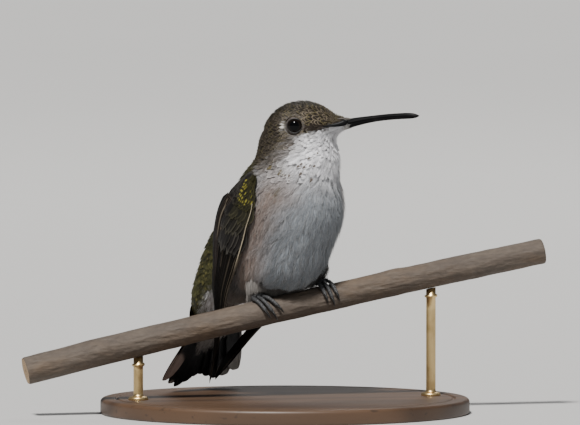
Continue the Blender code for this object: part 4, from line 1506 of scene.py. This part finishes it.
def blade(build, path, out, front, front_width, rear_width, tint, place, chance, sag=0.05, thick=0.0):
    """One flight feather: two vanes on a raised shaft, with front as the way to its leading edge.

    tint gives its colours, and place is its own strip, from and to, on the unwrapped piece. A feather that is
    thick has a second sheet as its upper side.
    """
    columns = np.array(VANE_COLUMNS)
    count = len(path)
    width = np.where(columns > 0, front_width[:, None], rear_width[:, None]) * columns
    distance = np.concatenate([[0], np.cumsum(np.linalg.norm(np.diff(path, axis=0), axis=1))])
    t = distance / distance[-1]
    drop = sag * width**2 + 0.10 * np.abs(columns) * (1 - 0.5 * t[:, None])
    lengthwise, crosswise = np.meshgrid(t, columns, indexing="ij")
    serrate = 0.02 * np.sin(distance[:, None] * 9 + crosswise * 5 + chance * 30) * (np.abs(crosswise) > 0.95)
    points = path[:, None] + front[:, None] * (width + serrate)[..., None] - out[:, None] * drop[..., None]
    vane = np.stack([width, distance[:, None] + 0 * width, 0 * width + chance], -1).reshape(-1, 3)
    over_strip = place[0] + (place[1] - place[0]) * (0.5 + 0.5 * crosswise)
    unwrapped = np.stack([over_strip, 0.02 + 0.96 * lengthwise], -1).reshape(-1, 2)
    for layer in (0.0, thick) if thick else (0.0,):
        moved = points - out[:, None] * layer
        shade = tint(lengthwise, crosswise, layer > 0).reshape(-1, 4)
        build.add(moved, grid_faces(count, len(columns)), body=shade, vane=vane, OFBake=unwrapped)
    shaft = np.linspace(1, 0.15, count) * 0.13
    middle = (sum(place) / 2, 0.5)
    build.tube(path + out * 0.02, shaft, 6, body=tint.shaft, vane=(0.0, 0.5, chance), OFBake=middle)


class WingTint:
    """Near-black vanes, the same on both sides, with a thin buff front rim and a lilac-grey painted highlight
    on some.
    """

    def __init__(self, depth, rim, shaft, rim_from, gleam, highlight_place):
        self.depth, self.rim, self.shaft, self.rim_from = depth, rim, (*shaft, 0.0), rim_from
        self.gleam, self.highlight_place = gleam, highlight_place

    def __call__(self, along, across, _):
        rear = ease(-across)
        colour = blend(rear * 0.6, (0.0022, 0.0018, 0.0017), (0.0055, 0.0046, 0.0046)) * self.depth
        # painted highlight: a lilac-grey streak along the middle of some feathers, standing for their gloss
        gleam = self.gleam * bell(along, self.highlight_place, 0.20) * bell(across, 0.35, 0.55)
        colour = blend(gleam, colour, (0.080, 0.073, 0.083))
        line = (across > self.rim_from) * self.rim * ease((0.85 - along) / 0.3)
        colour = blend(line, colour, (0.30, 0.25, 0.185))
        tip = ease((along - 0.9) / 0.1) * (np.abs(across) > 0.9) * 0.4
        colour = blend(tip, colour, (0.14, 0.118, 0.095))
        return with_share(colour, 0.0)


# where feathers end, in shares of the wing's span: the primaries run outwards, the secondaries inwards
PRIMARY_TIPS = (0.655, 0.69, 0.73, 0.77, 0.815, 0.86, 0.905, 0.945, 0.975, 0.998)
SECONDARY_TIPS = (0.635, 0.60, 0.565, 0.52, 0.47, 0.42)
NARROWEST_PLATE = {"right": 1.7, "left": 4.2}  # the left wing's tip is held a little more open


def make_wing(side, material, vane):
    """A folded wing: primaries and secondaries side by side, a pale leading edge, and the small feathers."""
    build = Build()
    feathers = len(PRIMARY_TIPS) + len(SECONDARY_TIPS)
    t = np.linspace(0, 1, 54)

    def add(number, start, end, chords, heights, widths, point, tint):
        span = start + (end - start) * t
        chord = chords[0] + (chords[1] - chords[0]) * ease(t)
        height = heights[0] + (heights[1] - heights[0]) * t
        path, out = wing_point(span, chord, side, height)
        forward = unit(np.cross(unit(np.gradient(path, axis=0)), out)) * -SIDES[side]
        plate = np.maximum(plate_width(span), NARROWEST_PLATE[side])
        root = 0.35 + 0.65 * ease(t / 0.2)
        taper = rounded_end(t, point)
        front_width = (0.16 + widths[0] * plate) * root * taper**1.3
        rear_width = (0.20 + widths[1] * plate) * root * taper
        strip = (number / feathers + 0.004, (number + 1) / feathers - 0.004)
        luck = RANDOM.random()
        blade(build, path, out, forward, front_width, rear_width, tint, strip, luck)

    last = len(PRIMARY_TIPS) - 1
    for i, tip in enumerate(PRIMARY_TIPS):
        outer = i / last
        chords = (0.62 - 0.56 * outer, 0.80 - 0.56 * outer)
        heights = (1.30 - 0.72 * outer, 0.85 - 0.45 * outer)
        shaft = (0.10, 0.082, 0.06) if i == last else (0.02, 0.017, 0.015)
        rim, rim_from = (0.4, 0.55) if i == last else (0.02 + 0.20 * (i % 4 == 1), 0.85)
        # the primaries are painted darker than the secondaries, as painted shade over the lower wing
        tint = WingTint(0.4 + 0.3 * RANDOM.random(), rim, shaft, rim_from, 0.2 * (i % 3 == 1), 0.45)
        add(i, 0.16, tip, chords, heights, (0.10, 0.36), 0.55 + 0.25 * outer, tint)
    for j, tip in enumerate(SECONDARY_TIPS):
        chords = (0.66 + 0.05 * j, 0.80 + 0.035 * j)
        heights = (1.30 + 0.03 * j, 0.85 + 0.05 * j)
        luck = RANDOM.random()
        shaft = (0.045, 0.036, 0.03)
        # the secondaries carry the strongest lilac-grey painted highlight
        tint = WingTint(0.9 + 0.6 * luck, 0.45 * (j % 2), shaft, 0.85, 0.35 + 0.5 * luck, 0.72)
        add(len(PRIMARY_TIPS) + j, 0.14, tip, chords, heights, (0.14, 0.22), 0.62, tint)
    span = 0.10 + 0.52 * t
    path, out = wing_point(span, 0.03 - 0.02 * t, side, 1.0 - 0.45 * t)
    sides = 10
    bright = np.repeat(ease((0.66 - np.concatenate([[0], t, [1]])) / 0.22), sides)
    cream = with_share(blend(bright, (0.045, 0.036, 0.027), (0.36, 0.31, 0.225)), 0.0)
    radii = 0.13 * np.sin(pi * (0.06 + 0.9 * t)) ** 0.5
    build.tube(path, radii, sides, body=cream, vane=(0.0, 0.5, 0.5), OFBake=(0.99, 0.5))
    nodes = [f"wing_{side}_{part}" for part in ("primaries", "secondaries", "coverts")]
    build.finish(f"wing_{side}_flight_feathers", material, "flight_feathers", nodes, ("OFBake",))
    make_wing_coverts(side, vane)


def wing_covert_roots():
    """A row for each small feather: its span and chord, length, width, height at root and tip, how dusky."""
    rows = [  # span at the roots, length, width, number across, height at root and tip, how dusky
        (0.215, 8.6, 2.3, 11, (1.30, 1.42), 1.0),
        (0.165, 6.6, 2.2, 11, (1.36, 1.52), 0.75),
        (0.125, 4.8, 2.1, 11, (1.38, 1.58), 0.35),
    ]
    rows += [(0.100 - 0.017 * k, 2.7 - 0.05 * k, 1.4, 14 + (k % 2), (1.36, 1.60), 0.0) for k in range(7)]
    feathers = []
    for k, (span, length, width, count, heights, dusky) in enumerate(rows):
        for chord in np.linspace(0.03, 0.97, count) + (0.5 / count if k % 2 else 0):
            root = (span + RANDOM.normal(0, 0.003), min(chord + RANDOM.normal(0, 0.008), 1.0))
            size = (length * RANDOM.uniform(0.9, 1.08), width * RANDOM.uniform(0.9, 1.1))
            feathers.append((*root, *size, *heights, dusky))
    return np.array(feathers)


def wing_covert_colours(span, chord, dusky):
    """Olive scales with gold glints at the bend, dusky towards the rear, and the chance of each feather."""
    chance = RANDOM.random(len(span))
    body = blend(chance * 0.8, (0.013, 0.0125, 0.009), (0.040, 0.038, 0.019))
    dusky = np.maximum(dusky, ease((chord - 0.38) / 0.25))
    body = blend(dusky, body, blend(chance, (0.0045, 0.0037, 0.0034), (0.012, 0.010, 0.0095)))
    edge = blend(dusky, np.broadcast_to(OLIVE_EDGE, body.shape), (0.085, 0.078, 0.066))
    gleam = 0.3 * (1 - dusky) + 0.1
    share = 0.25 + 0.3 * RANDOM.random(len(span))
    glint = (chance > 0.45) * (1 - dusky) * ease((0.75 - chord) / 0.3)
    glint = glint * ease((0.11 - span) / 0.05)
    glint = glint * (0.15 + 0.22 * RANDOM.random(len(span)))
    spot = np.broadcast_to((0.26, 0.23, 0.035), body.shape)
    return (with_share(body, gleam), with_share(edge, share), with_share(spot, glint)), chance


def make_wing_coverts(side, vane):
    """Rows of small feathers from the bend of the wing down over the roots of the flight feathers."""
    feathers = wing_covert_roots()
    root_span, root_chord, length, width, low, high, dusky = feathers.T[..., None]
    t = np.linspace(0, 1, Paths.steps)
    span = root_span + length * t / WING_SPAN
    chord = root_chord + 0.03 * t
    crown = np.sin(pi * (0.10 + 0.80 * np.clip(chord, 0, 1)))
    height = (0.10 + (low + (high - low) * t) * crown) + RANDOM.normal(0, 0.02, (len(feathers), 1))
    height = height * ease((span + 0.03) / 0.06)
    paths = Paths.through(*wing_point(np.maximum(span, 0.0), chord, side, height))
    colours, chance = wing_covert_colours(root_span[:, 0], root_chord[:, 0], dusky[:, 0])
    unwrapped = np.hstack([0.05 + 0.9 * root_chord, 0.05 + 3.5 * root_span])
    made = vanes(paths, unwrapped, width[:, 0], colours, 0.08, chance, FINE, 0.02)
    lay(f"wing_{side}_small_feathers", made, vane)


# ---- tail ----

BLADE_ROOT = 3.5  # how far out from the tail's apex its blades begin
TAIL_HALVES = {  # 1 is the right half and -1 the left, and each row runs from the middle feather outwards
    # degrees turned out, how much longer the feather is, and the length of its pale tip
    1: ((0, 0, 0, 1.0, 3.0), (0, 0, 0, 0, 0.8), (0.0, 0.0, 0.6, 1.0, 7.5)),
    -1: ((0, -4.5, -8.5, -12.0, -15.0), (0.3, 0.8, 1.5, 2.6, 3.4), (0.0, 0.0, 1.2, 3.4, 9.0)),
}


class TailTint:
    """A tail feather: green-grey at its root, then black, with a pale tip as long as white says."""

    def __init__(self, white, dark_rim, length, slant):
        self.white, self.dark_rim, self.length, self.slant = white, dark_rim, length, slant
        self.shaft = (0.09, 0.075, 0.065, 0.0)

    def __call__(self, along, across, upper_side):
        from_tip = (1 - along) * self.length
        black = np.array((0.006, 0.006, 0.0075)) + 0 * along[..., None]
        green = np.array((0.024, 0.028, 0.011)) if upper_side else np.array((0.012, 0.012, 0.012))
        green_from, most = (11 if self.white else 2), (1.0 if upper_side or self.white else 0.2)
        root_share = ease((from_tip - green_from) / 6) * most
        if upper_side and not self.white:
            root_share = np.maximum(root_share, 0.85)
        colour = blend(root_share, black, green)
        pale = (0.36, 0.335, 0.305) if self.dark_rim < 0.5 else (0.34, 0.275, 0.25)
        wavy = 0.7 * np.sin(across * 2.6 + self.length) + self.slant * across
        tip = ease((self.white - from_tip + wavy) / 1.3) if self.white else 0 * along
        colour = blend(tip, colour, pale)
        rim = self.dark_rim * (across > 0.75)
        colour = blend(rim, colour, (0.03, 0.025, 0.024))
        gleam = np.where(tip > 0.3, 0.0, 0.3)
        return with_share(colour, gleam)


def tail_place(out, reach, forward):
    """A point on the tail, out to its right, this far down from its apex and forward of it."""
    return TAIL.at(forward + 0.004 * out**2, out, -reach)


def make_tail(material):
    """Ten tail feathers in a fan, each with an upper and an under sheet; the left half is the longer."""
    build = Build()
    step = 2 * TAIL_SPREAD / (2 * TAIL_FEATHERS - 1)
    t = 1 - np.linspace(1, 0, 48) ** 1.6
    for k in range(2 * TAIL_FEATHERS):
        angle = radians(-TAIL_SPREAD + step * k)
        rank = k - TAIL_FEATHERS if k >= TAIL_FEATHERS else TAIL_FEATHERS - 1 - k
        side = 1 if k >= TAIL_FEATHERS else -1
        turned_out, longer, white = (values[rank] for values in TAIL_HALVES[side])
        root_out = -1.0 * rank if side < 0 else 0.0
        angle += side * radians(turned_out)
        length = TAIL_LENGTHS[rank] + longer - BLADE_ROOT
        reach = BLADE_ROOT + length * t
        bow = side * 0.5 * rank / 4 * np.sin(pi * t)
        out_place = root_out + reach * sin(angle) + bow * cos(angle)
        forward = 0.06 + 0.15 * rank + 0.02 * (side > 0)
        path = tail_place(out_place, reach * cos(angle), forward * (0.4 + 0.6 * t))
        out = np.broadcast_to(TAIL.axes[0], path.shape)
        sideways = unit(np.cross(unit(np.gradient(path, axis=0)), out))
        sideways = sideways * np.sign(dot(sideways, TAIL.axes[1][None])) * side
        body = (0.30 + 0.70 * ease(t / 0.55)) * rounded_end(t, 0.84 - 0.12 * (rank == 4))
        rim = (0, 0, 0, 0.35, 1.0 if side > 0 else 0.4)[rank]
        tint = TailTint(white, rim, length, 2.6 if side < 0 and rank == 4 else 0.5)
        outer_web = (1.45 - 0.12 * rank) * body
        inner_web = (2.9 + (0.15 if side > 0 else 0.30) * rank) * body
        strip = (k / 10 + 0.005, (k + 1) / 10 - 0.005)
        blade(build, path, out, sideways, outer_web, inner_web, tint, strip, RANDOM.random(), -0.01, 0.07)
    nodes = ("tail_right", "tail_middle", "tail_left")
    build.finish("tail_feathers", material, "flight_feathers", nodes, ("OFBake",))


def tail_covert_roots(way):
    """A row for each feather of one sheet: how far out and how far down it is rooted, and its length."""
    feathers = []
    for row, down in enumerate(np.linspace(2.5, 10.5, 8)):
        wide = 6.2 - 0.28 * row
        for out in np.arange(-wide, wide + 0.1, 1.25) + 0.6 * (row % 2):
            root = (out + RANDOM.normal(0, 0.12), down + RANDOM.normal(0, 0.2))
            shorter = 0.35 * (out / 7) ** 2 + 0.45 * (way > 0) * ease(-out / 1.8)
            feathers.append((*root, (6.4 + 0.10 * row) * (1 - shorter) * RANDOM.uniform(0.9, 1.08)))
    return np.array(feathers)


def tail_covert_paths(way, root_out, root_down, length, chance):
    """The middle lines of one sheet's feathers, fullest at the rump and thin over the tail."""
    t = np.linspace(0, 1, Paths.steps)
    reach = root_down + length * t
    out = root_out * (1 + 0.035 * (reach - 6))
    share = np.clip((reach - TAIL_ROOT) / 11, -0.35, 1)
    edge = np.sqrt(np.clip(1 - 0.8 * (out / 7.5) ** 2, 0.05, 1))
    fullness = (2.3 if way > 0 else 3.0) * edge * np.clip(1 - share, 0, 1.35) ** 1.3
    base = TAIL_THICKNESS + 0.25 if way > 0 else -0.25
    forward = base + way * (fullness + 0.12 * t + 0.10 * chance[:, None])
    places = tail_place(out, reach, forward)
    return Paths.through(places, np.broadcast_to(way * TAIL.axes[0], places.shape))


def make_tail_coverts(vane, down):
    """Soft feathers from the rump out over the roots of the tail, pale beneath and bronze-green above."""
    sheets = (("undertail_coverts", 1, "pale_plumage"), ("uppertail_coverts", -1, "olive_plumage"))
    for name, way, slot in sheets:
        feathers = tail_covert_roots(way)
        root_out, root_down, length = feathers.T[..., None]
        chance = RANDOM.random(len(feathers))
        paths = tail_covert_paths(way, root_out, root_down, length, chance)
        if way > 0:
            body = blend(chance, (0.36, 0.345, 0.335), (0.22, 0.21, 0.205))
            edge, gleam = np.broadcast_to((0.50, 0.48, 0.47), body.shape), 0.0
        else:
            body = blend(chance, DEEP_OLIVE, GREEN_BRONZE)
            edge, gleam = np.broadcast_to(OLIVE_EDGE, body.shape), 0.45
        colours = with_share(body, gleam), with_share(edge, 0.5), np.zeros((len(feathers), 4))
        unwrapped = np.hstack([0.5 + root_out / 18, 0.05 + root_down / 14])
        width = 2.6 * (0.9 + 0.2 * chance)
        if way > 0:
            made = tufts(paths, unwrapped, width, colours, chance, 15, 0.15)
        else:
            made = vanes(paths, unwrapped, width, colours, 0.07, chance, FINE, 0.02)
        lay(name + "_feathers", made, down if way > 0 else vane)


# ---- camera, light and floor ----


def make_studio():
    """A pale floor, an even sky and three lamps."""
    floor_mesh = bpy.data.meshes.new("floor")
    far = 14.0  # metres
    corners = [(-far, -far, 0), (far, -far, 0), (far, far, 0), (-far, far, 0)]
    floor_mesh.from_pydata(corners, [], [(0, 1, 2, 3)])
    floor = bpy.data.objects.new("floor", floor_mesh)
    floor_mesh.materials.append(floor_finish())
    bpy.context.scene.collection.objects.link(floor)

    world = bpy.data.worlds.new("studio")
    bpy.context.scene.world = world
    world.use_nodes = True
    sky = world.node_tree.nodes["Background"]
    sky.inputs["Color"].default_value = (0.92, 0.95, 1.0, 1)
    sky.inputs["Strength"].default_value = 0.17

    middle = Vector((cad_low + cad_high) / 2)
    add_light("key", "SUN", (-0.32, -0.58, 0.95), 5.4, (1.0, 0.975, 0.94), middle, 0.13)
    add_light("soft_front", "AREA", (0.9, -1.1, 0.5), 0.6, (0.88, 0.94, 1.0), middle, 0.8)
    add_light("rim", "AREA", (0.5, 1.1, 0.9), 3.0, (1.0, 0.98, 0.95), middle, 0.6)


def add_light(name, kind, away, power, tint, middle, size):
    """A lamp that looks at the bird from this far away. A sun's size is the angle of its soft disc."""
    lamp = bpy.data.lights.new(name, kind)
    lamp.energy, lamp.color = power, tint
    if kind == "SUN":
        lamp.angle = size
    else:
        lamp.shape, lamp.size = "DISK", size
    stand = bpy.data.objects.new(name, lamp)
    stand.location = middle + Vector(away)
    stand.rotation_mode = "QUATERNION"
    stand.rotation_quaternion = (-Vector(away)).to_track_quat("-Z", "Y")
    bpy.context.scene.collection.objects.link(stand)


def make_camera():
    """A long lens a little above level, turned to the bird's right."""
    azimuth, elevation, distance = radians(-12), radians(3), 2.5
    across_view = 0.1318  # the width that shows at the bird, in metres
    aside, height = 1.14, 45.66  # where the lens is aimed, to the right and up
    back = Vector((sin(azimuth) * cos(elevation), -cos(azimuth) * cos(elevation), sin(elevation)))
    sideways = Vector((cos(azimuth), sin(azimuth), 0))
    lens = bpy.data.cameras.new("camera")
    lens.sensor_width = 36
    lens.lens = 36 * distance / across_view
    lens.clip_start, lens.clip_end = 0.1, 60
    camera = bpy.data.objects.new("camera", lens)
    target = sideways * aside * MM + Vector((0, 0, height * MM))
    camera.location = target + back * distance
    camera.rotation_mode = "QUATERNION"
    camera.rotation_quaternion = (-back).to_track_quat("-Z", "Y")
    bpy.context.scene.collection.objects.link(camera)
    bpy.context.scene.camera = camera


# ---- everything together ----


def main():
    make_studio()
    make_camera()
    make_skin(skin_finish())
    vane = vane_finish("feather_vanes", 34.0, 0.5)
    loose = vane_finish("loose_feathers", 10.0, 0.85, sheen=0.12, streaky=0.6)
    pale = vane_finish("pale_vanes", 34.0, 0.75, sheen=0.1, streaky=0.5, shaded=0.24)
    rooted = make_coat(vane, pale, loose)
    make_leg_fluff(loose, rooted)
    make_bill_bristles(loose, rooted)
    blades = blade_finish("flight_feather_vanes", 0.50)
    for side in SIDES:
        make_wing(side, blades, vane)
    make_tail(blades)
    make_tail_coverts(vane, loose)
    # the second colour of a scale finish is its painted highlight on plate edges and grain
    bare = scale_finish("bare_skin", (0.09, 0.078, 0.07), (0.24, 0.22, 0.205), 0.6, 0.0)
    horn = horn_finish()
    make_bill(horn)
    make_gape(horn, bare)
    make_eyes(eye_finish(), lid_finish())
    # the paler colours of the leg scales and claws are their painted highlights
    scaly = scale_finish("leg_scales", (0.0045, 0.0047, 0.0055), (0.13, 0.134, 0.142), 0.40, 0.2)
    make_feet(scaly, scale_finish("claw_horn", (0.003, 0.003, 0.0035), (0.009, 0.0088, 0.0088), 0.28, 0.3))
    make_twig(bark_finish(), cut_wood_finish())
    make_rods(brass_finish(), make_base(walnut_finish()))


main()
